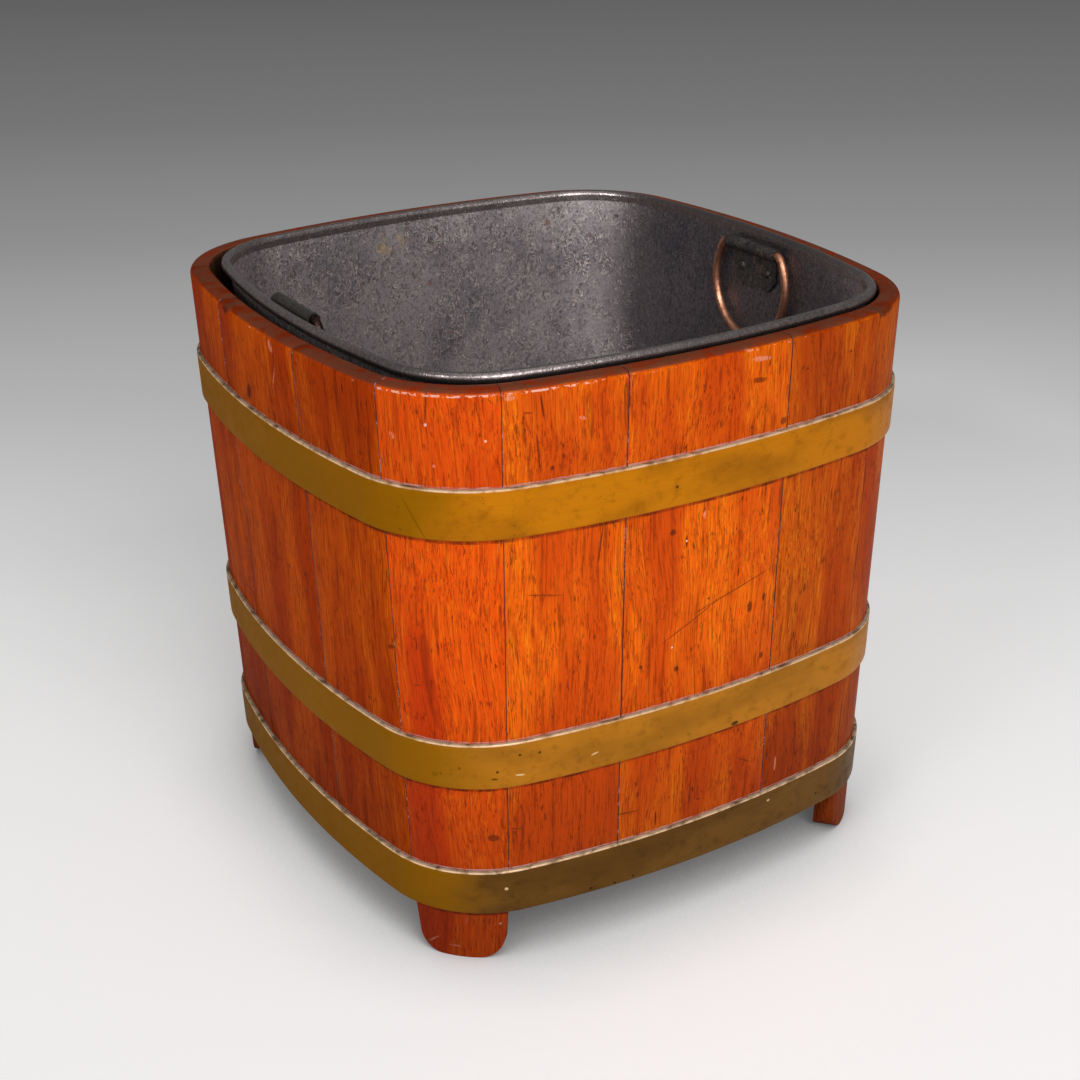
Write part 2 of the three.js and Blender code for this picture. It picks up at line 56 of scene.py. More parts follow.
def linear(code: str) -> Colour:
    """Turns an sRGB hex colour into the linear values that a socket takes.

    Args:
        code: Colour such as "#C85A12".

    Returns:
        Linear red, green and blue, with an alpha of 1.
    """
    parts = [int(code[i:i + 2], 16) / 255 for i in (1, 3, 5)]
    red, green, blue = (c / 12.92 if c <= 0.04045 else ((c + 0.055) / 1.055) ** 2.4 for c in parts)
    return (red, green, blue, 1.0)


class Paint:
    """A node material, built up as layers of colour from the lowest to the topmost."""

    def __init__(self, name: str, colour: str) -> None:
        """Starts a material with its lowest layer.

        Args:
            name: What the finish is.
            colour: Hex colour of the lowest layer.
        """
        self.material = bpy.data.materials.new(name)
        self.material.use_nodes = True
        self.tree = self.material.node_tree
        self.tree.nodes.clear()
        self.shader = self.add("ShaderNodeBsdfPrincipled")
        self.output = self.add("ShaderNodeOutputMaterial", {"Surface": self.shader.outputs[0]})
        self.colour = linear(colour)

    def add(self, kind: str, inputs: dict | None = None, **settings) -> bpy.types.Node:
        """Adds a node, sets its options and fills its sockets.

        Args:
            kind: Type of the node, such as "ShaderNodeTexNoise".
            inputs: Socket names or numbers, each with a value or the output that feeds it.
            **settings: Options of the node itself.

        Returns:
            The new node.
        """
        node = self.tree.nodes.new(kind)
        for name, value in settings.items():
            setattr(node, name, value)
        self.feed(node, inputs or {})
        return node

    def feed(self, node: bpy.types.Node, inputs: dict) -> None:
        """Fills sockets of a node, each with a value or with the output that feeds it."""
        for name, value in inputs.items():
            if isinstance(value, Socket):
                self.tree.links.new(value, node.inputs[name])
            else:
                node.inputs[name].default_value = value

    def place(self) -> Socket:
        """Reads the place on the piece, in Object coordinates."""
        return self.add("ShaderNodeTexCoord").outputs["Object"]

    def noise(self, wide: float, tall: float, shift: float, detail: float = 3.0,
              roughness: float = 0.5, distortion: float = 0.0, sway: float = 0.0) -> Socket:
        """Reads a noise with features of a given size.

        Args:
            wide: Metres along X and Y of one feature.
            tall: Metres along Z of one feature.
            shift: Moves the pattern, so that two pieces don't show the same part of it.
            detail: Number of finer octaves.
            roughness: Weight of the finer octaves.
            distortion: How far the pattern swirls.
            sway: How far it wanders to either side over some centimetres, in metres.

        Returns:
            The noise, from 0 to 1.
        """
        place = self.place()
        if sway:
            slow = self.add("ShaderNodeTexNoise", {"Vector": place, "Scale": 14.0, "Detail": 0.0})
            place = self.add("ShaderNodeVectorMath", {
                0: slow.outputs["Color"], 1: (2 * sway,) * 3, 2: place},
                operation="MULTIPLY_ADD").outputs[0]
        moved = self.add("ShaderNodeMapping", {
            "Vector": place, "Location": (shift, 0.7 * shift, 0.4 * shift)})
        scaled = self.add("ShaderNodeMapping", {
            "Vector": moved.outputs[0], "Scale": (1 / wide, 1 / wide, 1 / tall)})
        return self.add("ShaderNodeTexNoise", {
            "Vector": scaled.outputs[0], "Scale": 1.0, "Detail": detail, "Roughness": roughness,
            "Distortion": distortion}).outputs["Fac"]

    def ramp(self, value: Socket, low: float, high: float, start: float = 0.0,
             stop: float = 1.0) -> Socket:
        """Maps a value softly from one range to another, without passing its ends.

        Args:
            value: What is mapped.
            low: Value that gives `start`.
            high: Value that gives `stop`.
            start: Result at `low`.
            stop: Result at `high`.

        Returns:
            The mapped value.
        """
        return self.add("ShaderNodeMapRange", {
            "Value": value, "From Min": low, "From Max": high, "To Min": start, "To Max": stop},
            interpolation_type="SMOOTHSTEP").outputs[0]

    def times(self, first: Socket, second: Socket | float) -> Socket:
        """Multiplies two values, and keeps the result from 0 to 1."""
        return self.add("ShaderNodeMath", {0: first, 1: second}, operation="MULTIPLY",
                        use_clamp=True).outputs[0]

    def turned(self, value: Socket) -> Socket:
        """Turns a mask over: what was 1 is 0."""
        return self.ramp(value, 0.0, 1.0, 1.0, 0.0)

    def mixed(self, amount: Socket, under: Socket | Colour, over: Socket | Colour) -> Socket:
        """Mixes two colours: the amount says how much of the second one shows."""
        mix = self.add("ShaderNodeMix", {0: amount, 6: under, 7: over}, data_type="RGBA")
        return mix.outputs[2]

    def lay(self, mask: Socket, colour: Socket | str, most: float | None = None) -> None:
        """Lays a colour over the layers below.

        Args:
            mask: Where it shows.
            colour: Hex colour, or the output that gives it.
            most: How much of it shows where the mask is 1.
        """
        amount = mask if most is None else self.times(mask, most)
        tint = linear(colour) if isinstance(colour, str) else colour
        self.colour = self.mixed(amount, self.colour, tint)

    def height(self, low: float, high: float) -> Socket:
        """Masks what lies above a level.

        Args:
            low: Height where the mask is 0.
            high: Height where it reaches 1.

        Returns:
            The mask.
        """
        level = self.add("ShaderNodeSeparateXYZ", {0: self.place()}).outputs["Z"]
        return self.ramp(level, low, high)

    def band(self, low: float, high: float) -> Socket:
        """Masks what lies between two levels."""
        soft = 0.15 * MM
        return self.times(self.height(low - soft, low + soft),
                          self.turned(self.height(high - soft, high + soft)))

    def hairs(self, value: Socket, width: float) -> Socket:
        """Masks thin curling lines, where a noise crosses its middle value.

        Args:
            value: The noise.
            width: How far from the middle a line still shows.

        Returns:
            The mask.
        """
        off = self.add("ShaderNodeMath", {0: value, 1: 0.5}, operation="SUBTRACT")
        near = self.add("ShaderNodeMath", {0: off.outputs[0]}, operation="ABSOLUTE")
        return self.ramp(near.outputs[0], width, 0.3 * width)

    def bumped(self, relief: Socket, depth: float, under: Socket | None = None) -> Socket:
        """Turns a relief into a bent normal.

        Args:
            relief: Height of the surface, from 0 to 1.
            depth: How far apart 0 and 1 lie, in metres.
            under: Normal of a coarser relief that this one lies on.

        Returns:
            The normal.
        """
        inputs = {"Height": relief, "Distance": depth, "Strength": 1.0}
        if under is not None:
            inputs["Normal"] = under
        return self.add("ShaderNodeBump", inputs).outputs[0]

    def done(self, **inputs: Socket | float) -> bpy.types.Material:
        """Gives the shader the colour and its other inputs, such as Coat_Weight for Coat Weight.

        Args:
            **inputs: Sockets of the shader, with underscores for spaces.

        Returns:
            The finished material.
        """
        named = {name.replace("_", " "): value for name, value in inputs.items()}
        self.feed(self.shader, {"Base Color": self.colour, **named})
        return self.material


class Wear(Enum):
    """What a mark is, with the colour that it shows."""

    KNOT = "#421A0C"
    STAIN = "#6A220A"
    SHAKE = "#4A180A"
    LINE = "#7A3010"
    SCUFF = "#EE9A7C"
    CHIP = "#F4D8C6"
    PIT = "#24160A"
    TARNISH = "#54421C"
    # Painted shade on the brass, on the side that gets less light.
    BRASS_SHADE = "#8A5A06"
    CHAR = "#1E1614"
    RUST = "#A4745E"
    OCHRE = "#F0CC98"
    # Painted highlight on the edge of a seam.
    SEAM_HIGHLIGHT = "#B8B0AC"
    # Painted shade on the iron.
    IRON_SHADE = "#34323A"
    GLINT = "#E8C48C"

    def at(self, *places: tuple[float, ...]) -> tuple["Mark", ...]:
        """Makes a mark of this kind at each place, given as the values of a Mark."""
        return tuple(Mark(self, *place) for place in places)


@dataclass(frozen=True)
class Mark:
    """One mark, by the way that its wall faces in degrees and its height in millimetres.

    Its half lengths, in millimetres, run along the wall and up it, its top leans to the
    right of upright by some degrees, and it lies some millimetres inside the outside of
    the staves.
    """

    wear: Wear
    facing: float
    level: float
    across: float
    up: float
    lean: float = 0.0
    inset: float = 0.0

    def mask(self, paint: Paint, ragged: Socket) -> Socket:
        """Masks the mark with a ragged edge.

        Args:
            paint: Material that shows it.
            ragged: Noise that breaks up the edge.

        Returns:
            The mask, 1 at the middle of the mark.
        """
        plan, angle, z = WallPlan(), math.radians(self.facing), self.level * MM
        # A wide mark also reaches deep, and so fades softly where the wall turns away.
        depth = max(10.0, 0.3 * self.across)
        unit = paint.add("ShaderNodeMapping", {
            "Vector": paint.place(),
            "Location": plan.point(angle, plan.lean(z) - self.inset * MM, z),
            "Rotation": (0.0, math.radians(self.lean), angle + math.pi / 2),
            "Scale": (self.across * MM, depth * MM, self.up * MM)}, vector_type="TEXTURE")
        far = paint.add("ShaderNodeVectorMath", {0: unit.outputs[0]}, operation="LENGTH")
        rough = paint.add("ShaderNodeMath", {0: far.outputs["Value"], 1: ragged}, operation="ADD")
        return paint.ramp(rough.outputs[0], 1.7, 1.2)


@dataclass(frozen=True)
class VarnishedOak:
    """Straight-grained hardwood under an old red-orange shellac.

    Fine dark fibres and short pores run up each stave, the tone drifts over a few
    centimetres, and the film is rubbed brown on the rim and chipped pale along its edge,
    where a painted highlight runs among the chips.
    """

    bright: str = "#F6900C"
    light: str = "#EA6206"
    middle: str = "#D04A04"
    dark: str = "#7C2404"
    pore: str = "#4A1606"
    rim: str = "#5E3424"
    chip_and_glint: str = "#F0BEA6"
    wax: str = "#C4ACA6"
    roughness: float = 0.26
    film: float = 0.12
    sway: float = 5 * MM

    def material(self, name: str, seed: float, worn: float = 0.0,
                 marks: tuple[Mark, ...] = ()) -> bpy.types.Material:
        """Makes the finish of one stave.

        Args:
            name: Name of the material.
            seed: Moves the grain, so that no two staves match.
            worn: From 0 to 0.2, how much more its rim is chipped, and lit with painted highlight,
                than the others.
            marks: Knots, scuffs and scratches on it.

        Returns:
            The material.
        """
        paint = Paint(name, self.light)
        ramp, times, lay, band = paint.ramp, paint.times, paint.lay, paint.band
        sway = self.sway
        tone = paint.noise(0.026, 0.170, seed, sway=sway)
        streak = paint.noise(0.0026, 0.090, seed + 3, 4, 0.65, sway=sway)
        flame = paint.noise(0.0012, 0.026, seed + 5, 3, 0.65, sway=sway)
        # The fibres and pores are finer than 0.3 mm, and are drawn 0.8 mm wide to show.
        fibre = paint.noise(0.0009, 0.020, seed + 7, 3, 0.7, sway=sway)
        pore = paint.noise(0.0008, 0.0060, seed + 11, 1, sway=sway)
        cloud = paint.noise(0.012, 0.018, seed + 23, 5, 0.6)
        ragged = paint.noise(0.0025, 0.004, seed + 37, 3, 0.6)

        lay(ramp(tone, 0.38, 0.62), self.middle)
        lay(ramp(streak, 0.50, 0.70), self.dark, 0.64)
        lay(ramp(fibre, 0.50, 0.64), self.dark, 0.62)
        lay(times(ramp(flame, 0.52, 0.63), ramp(tone, 0.60, 0.40)), self.bright, 0.50)
        dashes = times(ramp(pore, 0.60, 0.70), ramp(cloud, 0.44, 0.58))
        lay(dashes, self.pore, 0.75)
        lay(ramp(cloud, 0.60, 0.76), self.dark, 0.35)
        for mark in marks:
            mask = mark.mask(paint, ragged)
            if mark.wear is Wear.SCUFF:
                mask = times(mask, ramp(fibre, 0.40, 0.52))
            lay(mask, mark.wear.value, 0.75)

        # The wood is redder above the top hoop, where hands have kept it oiled.
        lay(paint.height(0.316, 0.330), self.dark, 0.15)
        # Painted shade darkens the wood towards the bottom, most near the ground.
        for low, high, most in ((0.030, 0.240, 0.42), (0.020, 0.070, 0.45)):
            lay(ramp(paint.height(low, high), 0.0, 1.0, most, 0.0), self.pore)
        # Old wax lies pale against the wood just above each hoop; just under it, a dark band is
        # partly the hoop's painted shadow and partly dark stains.
        dust = paint.noise(0.007, 0.0012, seed + 29, 4, 0.65)
        for hoop in Hoop:
            line = band(hoop.top, hoop.top + 1.2 * MM)
            lay(times(line, ramp(dust, 0.40, 0.56, 0.1, 0.6)), self.wax)
            foot = hoop.top - HOOP_WIDTH
            under = band(foot - 3 * MM, foot)
            lay(times(under, ramp(cloud, 0.40, 0.60, 0.2, 0.7)), self.pore)
        rubbed = paint.mixed(ramp(cloud, 0.42, 0.66), linear(self.rim), linear(self.dark))
        lay(paint.height(WOOD_TOP - 2.4 * MM, WOOD_TOP - 0.8 * MM), rubbed, 0.92)
        # The pale chips along the rim's edge are partly real chipping and partly painted highlight.
        nick = paint.noise(0.004, 0.003, seed + 31, 4, 0.65)
        edge = band(WOOD_TOP - 3.5 * MM, WOOD_TOP - 2.3 * MM)
        chips_and_glints = times(edge, ramp(nick, 0.64 - worn, 0.69 - worn))
        lay(chips_and_glints, self.chip_and_glint, 0.70)

        relief = paint.bumped(paint.turned(dashes), 0.10 * MM,
                              paint.bumped(fibre, 0.10 * MM, paint.bumped(tone, 0.6 * MM)))
        # The film alone shines: the wood under it is soaked and gives no gloss of its own.
        return paint.done(
            Roughness=ramp(cloud, 0.3, 0.7, self.roughness - 0.04, self.roughness + 0.10),
            Normal=relief, Specular_IOR_Level=0.0, Coat_Weight=self.film, Coat_Roughness=0.12)


@dataclass(frozen=True)
class WaxedGlintingJoint:
    """The worn corners of a joint between staves: a dark line with pale dashes, partly of old wax
    and partly painted highlight.
    """

    dirt: str = "#3E1A10"
    wax: str = "#A08A8E"

    def material(self) -> bpy.types.Material:
        """Makes the finish of every joint."""
        paint = Paint("waxed_joint", self.dirt)
        dash = paint.noise(0.008, 0.004, 2.0, 4, 0.65)
        drift = paint.noise(0.060, 0.120, 6.0, 1)
        # The pale dashes are partly old wax and partly painted highlight.
        wax_and_glints = paint.times(paint.ramp(dash, 0.53, 0.61), paint.ramp(drift, 0.42, 0.60))
        paint.lay(wax_and_glints, self.wax)
        return paint.done(Roughness=0.55)


@dataclass(frozen=True)
class AgedBrass:
    """Rolled brass strip gone brown in the open air.

    The face is a soft satin with faint clouds and a few black pits, and its upper edge is
    rubbed bright, partly as painted highlight, under a dark line along its top face.
    """

    face: str = "#B3811E"
    cloud: str = "#7A5415"
    pit: str = "#33230F"
    bright: str = "#F0C8A0"
    dust: str = "#B8A488"
    roughness: float = 0.40

    def material(self, name: str, top: float, seed: float,
                 marks: tuple[Mark, ...] = ()) -> bpy.types.Material:
        """Makes the finish of one hoop.

        Args:
            name: Name of the material.
            top: Height of the hoop's upper edge.
            seed: Moves the pattern.
            marks: Pits, chips and stains on it, and painted shade on its left face.

        Returns:
            The material.
        """
        paint = Paint(name, self.face)
        ramp, times, lay = paint.ramp, paint.times, paint.lay
        drift = paint.noise(0.070, 0.030, seed)
        cloud = paint.noise(0.009, 0.007, seed + 5, 5, 0.65)
        speck = paint.noise(0.0014, 0.0012, seed + 9, 2, 0.6)
        streak = paint.noise(0.030, 0.0009, seed + 13, 2)

        lay(ramp(drift, 0.38, 0.66, 0.0, 0.5), self.cloud)
        lay(ramp(cloud, 0.50, 0.74), self.cloud, 0.45)
        lay(ramp(streak, 0.45, 0.70), self.cloud, 0.12)
        pits = times(ramp(speck, 0.66, 0.72), ramp(cloud, 0.46, 0.60))
        lay(pits, self.pit, 0.80)
        # Thin tarnish dulls the metal by half, and the painted shade on the left face and the dust
        # on the edge hide it.
        edge = paint.height(top - 0.3 * MM, top - 0.1 * MM)
        bare = ramp(edge, 0.0, 1.0, 0.55, 0.0)
        for mark in marks:
            mask = mark.mask(paint, drift if mark.wear is Wear.BRASS_SHADE else speck)
            lay(mask, mark.wear.value, 0.85)
            if mark.wear is Wear.BRASS_SHADE:
                bare = times(bare, ramp(mask, 0.0, 1.0, 1.0, 0.25))
        # Below the top the edge is rubbed bright, partly as painted highlight.
        lay(times(paint.height(top - 1.5 * MM, top - 0.9 * MM), ramp(cloud, 0.62, 0.42, 0.30, 1.0)),
            self.bright)
        # The top face is mottled with pale dust and dark.
        dirt = ramp(cloud, 0.40, 0.70, 0.1, 0.9)
        lay(edge, paint.mixed(dirt, linear(self.dust), linear(self.pit)))

        relief = paint.bumped(paint.turned(pits), 0.12 * MM,
                              paint.bumped(streak, 0.04 * MM, paint.bumped(drift, 1.0 * MM)))
        return paint.done(
            Roughness=ramp(cloud, 0.35, 0.70, self.roughness - 0.05, self.roughness + 0.12),
            Normal=relief, Metallic=bare, Specular_IOR_Level=0.0)


@dataclass(frozen=True)
class SootedIron:
    """Sheet iron that has carried coal: mottled grey-brown mill scale, rubbed by use.

    Hair-thin pale scratches curl over a fine mottle and slow blue-grey clouds, rust shows
    as a few warm spots, and the rolled rim is darker and smoother than the wall.
    """

    pale: str = "#D4CACC"
    middle: str = "#ACA3A6"
    dark: str = "#544B49"
    cool: str = "#74737F"
    scratch: str = "#F0E2DC"
    rim: str = "#7C706C"
    roughness: float = 0.48
    metallic: float = 0.95

    def material(self, name: str, seed: float = 0.0,
                 marks: tuple[Mark, ...] = ()) -> bpy.types.Material:
        """Makes the finish.

        Args:
            name: Name of the material.
            seed: Moves the pattern.
            marks: Stains, a painted highlight, and painted shade in a dent and over the right wall,
                on the inside of the wall.

        Returns:
            The material.
        """
        paint = Paint(name, self.pale)
        ramp, times, lay = paint.ramp, paint.times, paint.lay
        drift = paint.noise(0.055, 0.070, seed)
        cloud = paint.noise(0.010, 0.013, seed + 4, 5, 0.65, 0.2)
        mottle = paint.noise(0.0022, 0.0030, seed + 8, 4, 0.7, 0.5)
        curl = paint.noise(0.0046, 0.0060, seed + 12, 3, 0.6, 1.6)

        lay(ramp(cloud, 0.36, 0.66), self.middle)
        lay(ramp(drift, 0.42, 0.66), self.cool, 0.55)
        lay(ramp(mottle, 0.42, 0.62), self.dark, 0.75)
        lay(ramp(mottle, 0.44, 0.32), self.scratch, 0.25)
        lay(times(paint.hairs(curl, 0.040), ramp(cloud, 0.38, 0.52)), self.scratch, 0.80)
        lay(times(ramp(drift, 0.50, 0.62), ramp(cloud, 0.58, 0.68)), Wear.RUST.value, 0.35)
        for mark in marks:
            mask = mark.mask(paint, mottle)
            if mark.wear is Wear.OCHRE:
                mask = times(mask, ramp(cloud, 0.44, 0.56))
            lay(mask, mark.wear.value, 0.70)
        rolled = paint.height(WOOD_TOP - 3.7 * MM, WOOD_TOP - 2.5 * MM)
        lay(rolled, self.rim, 0.60)

        satin = ramp(mottle, 0.35, 0.70, self.roughness - 0.06, self.roughness + 0.14)
        return paint.done(Roughness=times(satin, ramp(rolled, 0.0, 1.0, 1.0, 0.6)),
                          Normal=paint.bumped(mottle, 0.20 * MM, paint.bumped(drift, 1.2 * MM)),
                          Metallic=self.metallic)


@dataclass(frozen=True)
class CopperedWire:
    """Drawn wire with a worn copper wash, darker where dirt stays between the rubs."""

    bright: str = "#CC9274"
    dull: str = "#8E5E48"
    painted_shade: str = "#221C1A"
    roughness: float = 0.42

    def material(self, name: str, seed: float, shaded_above: float) -> bpy.types.Material:
        """Makes the finish.

        Args:
            name: Name of the material.
            seed: Moves the pattern.
            shaded_above: Height above which painted shade blackens the wire.

        Returns:
            The material.
        """
        paint = Paint(name, self.bright)
        cloud = paint.noise(0.006, 0.006, seed, 5, 0.65)
        speck = paint.noise(0.0010, 0.0010, seed + 5, 3, 0.6)
        paint.lay(paint.ramp(cloud, 0.42, 0.66), self.dull)
        paint.lay(paint.ramp(speck, 0.60, 0.72), self.dull, 0.5)
        # Painted shade blackens the wire above that height, where it hangs hidden in shade.
        paint.lay(paint.height(shaded_above - 4 * MM, shaded_above), self.painted_shade, 0.95)
        return paint.done(
            Roughness=paint.ramp(cloud, 0.35, 0.70, self.roughness - 0.05, self.roughness + 0.15),
            Normal=paint.bumped(speck, 0.10 * MM), Metallic=1.0)


class Hoop(Enum):
    """The three hoops: height of the upper edge, face colour, cloud colour."""

    TOP = ("hoop_top", 0.3244, "#C87A10", "#8A5410")
    MIDDLE = ("hoop_middle", 0.1590, "#BA7820", "#825518")
    BOTTOM = ("hoop_bottom", 0.0670, "#6E4C20", "#462E12")

    def __init__(self, node: str, top: float, face: str, cloud: str) -> None:
        """Keeps the hoop's node, place and colours."""
        self.node, self.top, self.face, self.cloud = node, top, face, cloud


def placed(name: str, data: bpy.types.ID) -> bpy.types.Object:
    """Makes an object of a mesh, a lamp or a camera, and puts it in the scene."""
    thing = bpy.data.objects.new(name, data)
    bpy.context.scene.collection.objects.link(thing)
    return thing


def merged(mesh: Shape) -> None:
    """Closes the seams of a spun or extruded shape and points its faces outwards."""
    bmesh.ops.remove_doubles(mesh, verts=mesh.verts, dist=1e-6)
    bmesh.ops.recalc_face_normals(mesh, faces=mesh.faces)


def show(mesh: Shape, name: str, node: str, body: str, slot: str,
         *materials: bpy.types.Material, sharp: float = 30.0) -> None:
    """Turns a bmesh into a shaded piece and shows it instead of a node.

    Args:
        mesh: Finished shape, in place. It is freed.
        name: Name of the piece.
        node: Node that it stands for.
        body: Body that it moves with.
        slot: Material slot of the record; not used.
        *materials: Its finishes, in the order of the material indices of its faces.
        sharp: Edges that turn by more degrees than this stay crisp.
    """
    data = bpy.data.meshes.new(name)
    mesh.to_mesh(data)
    mesh.free()
    for material in materials:
        data.materials.append(material)
    data.shade_smooth()
    data.set_sharp_from_angle(angle=math.radians(sharp))
    piece = placed(name, data)
    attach(piece, body)
    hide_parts(node)


def loop(mesh: Shape, points: list[Vector]) -> list:
    """Draws a closed outline to sweep.

    Args:
        mesh: Where it is drawn.
        points: Its corners in order.

    Returns:
        Its vertices and edges.
    """
    verts = [mesh.verts.new(point) for point in points]
    edges = [mesh.edges.new(pair) for pair in pairwise([*verts, verts[0]])]
    return verts + edges


def arc(centre: tuple[float, float], radius: float, start: float, stop: float,
        steps: int) -> Section:
    """Gives points along an arc.

    Args:
        centre: Its middle.
        radius: Its radius.
        start: First angle in degrees.
        stop: Last angle in degrees.
        steps: Number of straight pieces.

    Returns:
        The points, ends included.
    """
    angles = [math.radians(start + (stop - start) * k / steps) for k in range(steps + 1)]
    return [(centre[0] + radius * math.cos(a), centre[1] + radius * math.sin(a)) for a in angles]


@dataclass(frozen=True)
class WallPlan:
    """The rounded-square plan of the walls, known by the direction that the wall faces."""

    width: float = 0.400
    depth: float = 0.404
    height: float = WOOD_TOP
    side_radius: float = 0.700
    corner_radius: float = 0.084
    slope: float = 0.036

    def centres(self) -> tuple[float, float, float, float]:
        """Finds the middles of the side arcs and of the front right corner arc.

        Returns:
            X of the end walls' arcs, Y of the long walls' arcs, and the corner's X and Y.
        """
        side_x = self.width / 2 - self.side_radius
        side_y = self.depth / 2 - self.side_radius
        span = math.hypot(side_x, side_y)
        reach = math.sqrt((self.side_radius - self.corner_radius) ** 2 - (span / 2) ** 2) / span
        return (side_x, side_y, side_x / 2 - side_y * reach, side_y / 2 - side_x * reach)

    def joins(self) -> list[float]:
        """Lists the facing angles where two arcs meet, from 0 to a full turn."""
        side_x, side_y, corner_x, corner_y = self.centres()
        near_x = math.atan2(corner_y, corner_x - side_x)
        near_y = math.atan2(corner_y - side_y, corner_x)
        first = [near_x, near_y, math.pi - near_y, math.pi - near_x]
        return first + [angle + math.pi for angle in first]

    def arc_at(self, angle: float) -> tuple[Vector, float]:
        """Finds the arc that faces a direction.

        Args:
            angle: Direction that the wall faces, from +X, in radians.

        Returns:
            The arc's middle and radius.
        """
        side_x, side_y, corner_x, corner_y = self.centres()
        facing = Vector((math.cos(angle), math.sin(angle), 0.0))
        flat = Vector((abs(facing.x), abs(facing.y)))
        near_x, near_y = self.joins()[:2]
        sign_x, sign_y = math.copysign(1, facing.x), math.copysign(1, facing.y)
        bearing = math.atan2(flat.y, flat.x)
        if bearing < near_x:
            return Vector((sign_x * side_x, 0.0, 0.0)), self.side_radius
        if bearing > near_y:
            return Vector((0.0, sign_y * side_y, 0.0)), self.side_radius
        return Vector((sign_x * corner_x, sign_y * corner_y, 0.0)), self.corner_radius

    def point(self, angle: float, offset: float, z: float) -> Vector:
        """Gives a point of the wall.

        Args:
            angle: Direction that the wall faces.
            offset: Distance outside the rim's outline.
            z: Height.

        Returns:
            The point.
        """
        centre, radius = self.arc_at(angle)
        reach = radius + offset
        return centre + Vector((reach * math.cos(angle), reach * math.sin(angle), z))

    def lean(self, z: float) -> float:
        """Gives how far the outside of the wall stands from the rim's outline at a height."""
        return -self.slope * (self.height - z)

    def sweep(self, mesh: Shape, section: Section, start: float, stop: float,
              facet: float = 1.2) -> None:
        """Sweeps an upright section along the wall.

        Args:
            mesh: Where it is built.
            section: Its corners, each an offset and a height.
            start: Facing angle where it starts.
            stop: Facing angle where it stops, larger than `start`.
            facet: Length of one step on the flat sides is this many degrees of arc.
        """
        geometry = loop(mesh, [self.point(start, offset, z) for offset, z in section])
        turns = [join + turn for turn in (0.0, 2 * math.pi) for join in self.joins()]
        inner = [angle for angle in turns if start + 1e-6 < angle < stop - 1e-6]
        for low, high in pairwise([start, *inner, stop]):
            centre, radius = self.arc_at((low + high) / 2)
            degrees = facet if radius == self.side_radius else 3.2 * facet
            steps = max(1, math.ceil(math.degrees(high - low) / degrees))
            spun = bmesh.ops.spin(mesh, geom=geometry, cent=centre, axis=(0, 0, 1),
                                  angle=high - low, steps=steps, use_merge=False)
            geometry = spun["geom_last"]

    def whole(self, mesh: Shape, section: Section) -> None:
        """Sweeps a section all the way round and closes it on itself."""
        self.sweep(mesh, section, 0.0, 2 * math.pi)
        merged(mesh)


def only(kind: type, items: list) -> list:
    """Picks the vertices, edges or faces out of what an operator made."""
    return [item for item in items if isinstance(item, kind)]


def cap(mesh: Shape) -> None:
    """Closes the two open ends of a sweep and points its faces outwards."""
    open_edges = [edge for edge in mesh.edges if edge.is_boundary]
    bmesh.ops.holes_fill(mesh, edges=open_edges, sides=0)
    bmesh.ops.recalc_face_normals(mesh, faces=mesh.faces)


def cut(mesh: Shape, point: Vector, away: Vector) -> None:
    """Saws off what lies beyond a plane and closes the cut.

    Args:
        mesh: Solid that is cut.
        point: A point of the plane.
        away: Direction of the part that goes.
    """
    everything = list(mesh.verts) + list(mesh.edges) + list(mesh.faces)
    sawn = bmesh.ops.bisect_plane(mesh, geom=everything, dist=1e-7, plane_co=point,
                                  plane_no=away, clear_outer=True)
    edges = only(bmesh.types.BMEdge, sawn["geom_cut"])
    if edges:
        bmesh.ops.holes_fill(mesh, edges=edges, sides=0)


def ease(mesh: Shape, least: float, width: float, segments: int = 2) -> list:
    """Rounds the crisp edges of a solid.

    Args:
        mesh: Solid that is eased.
        least: Edges that turn by fewer degrees than this are left.
        width: Width of the rounding.
        segments: Facets across it.

    Returns:
        The faces of the rounding.
    """
    crisp = [edge for edge in mesh.edges
             if len(edge.link_faces) == 2 and edge.calc_face_angle(0.0) > math.radians(least)]
    made = bmesh.ops.bevel(mesh, geom=crisp, offset=width, offset_type="OFFSET",
                           segments=segments, profile=0.5, affect="EDGES", material=-1,
                           clamp_overlap=True)
    return made["faces"]


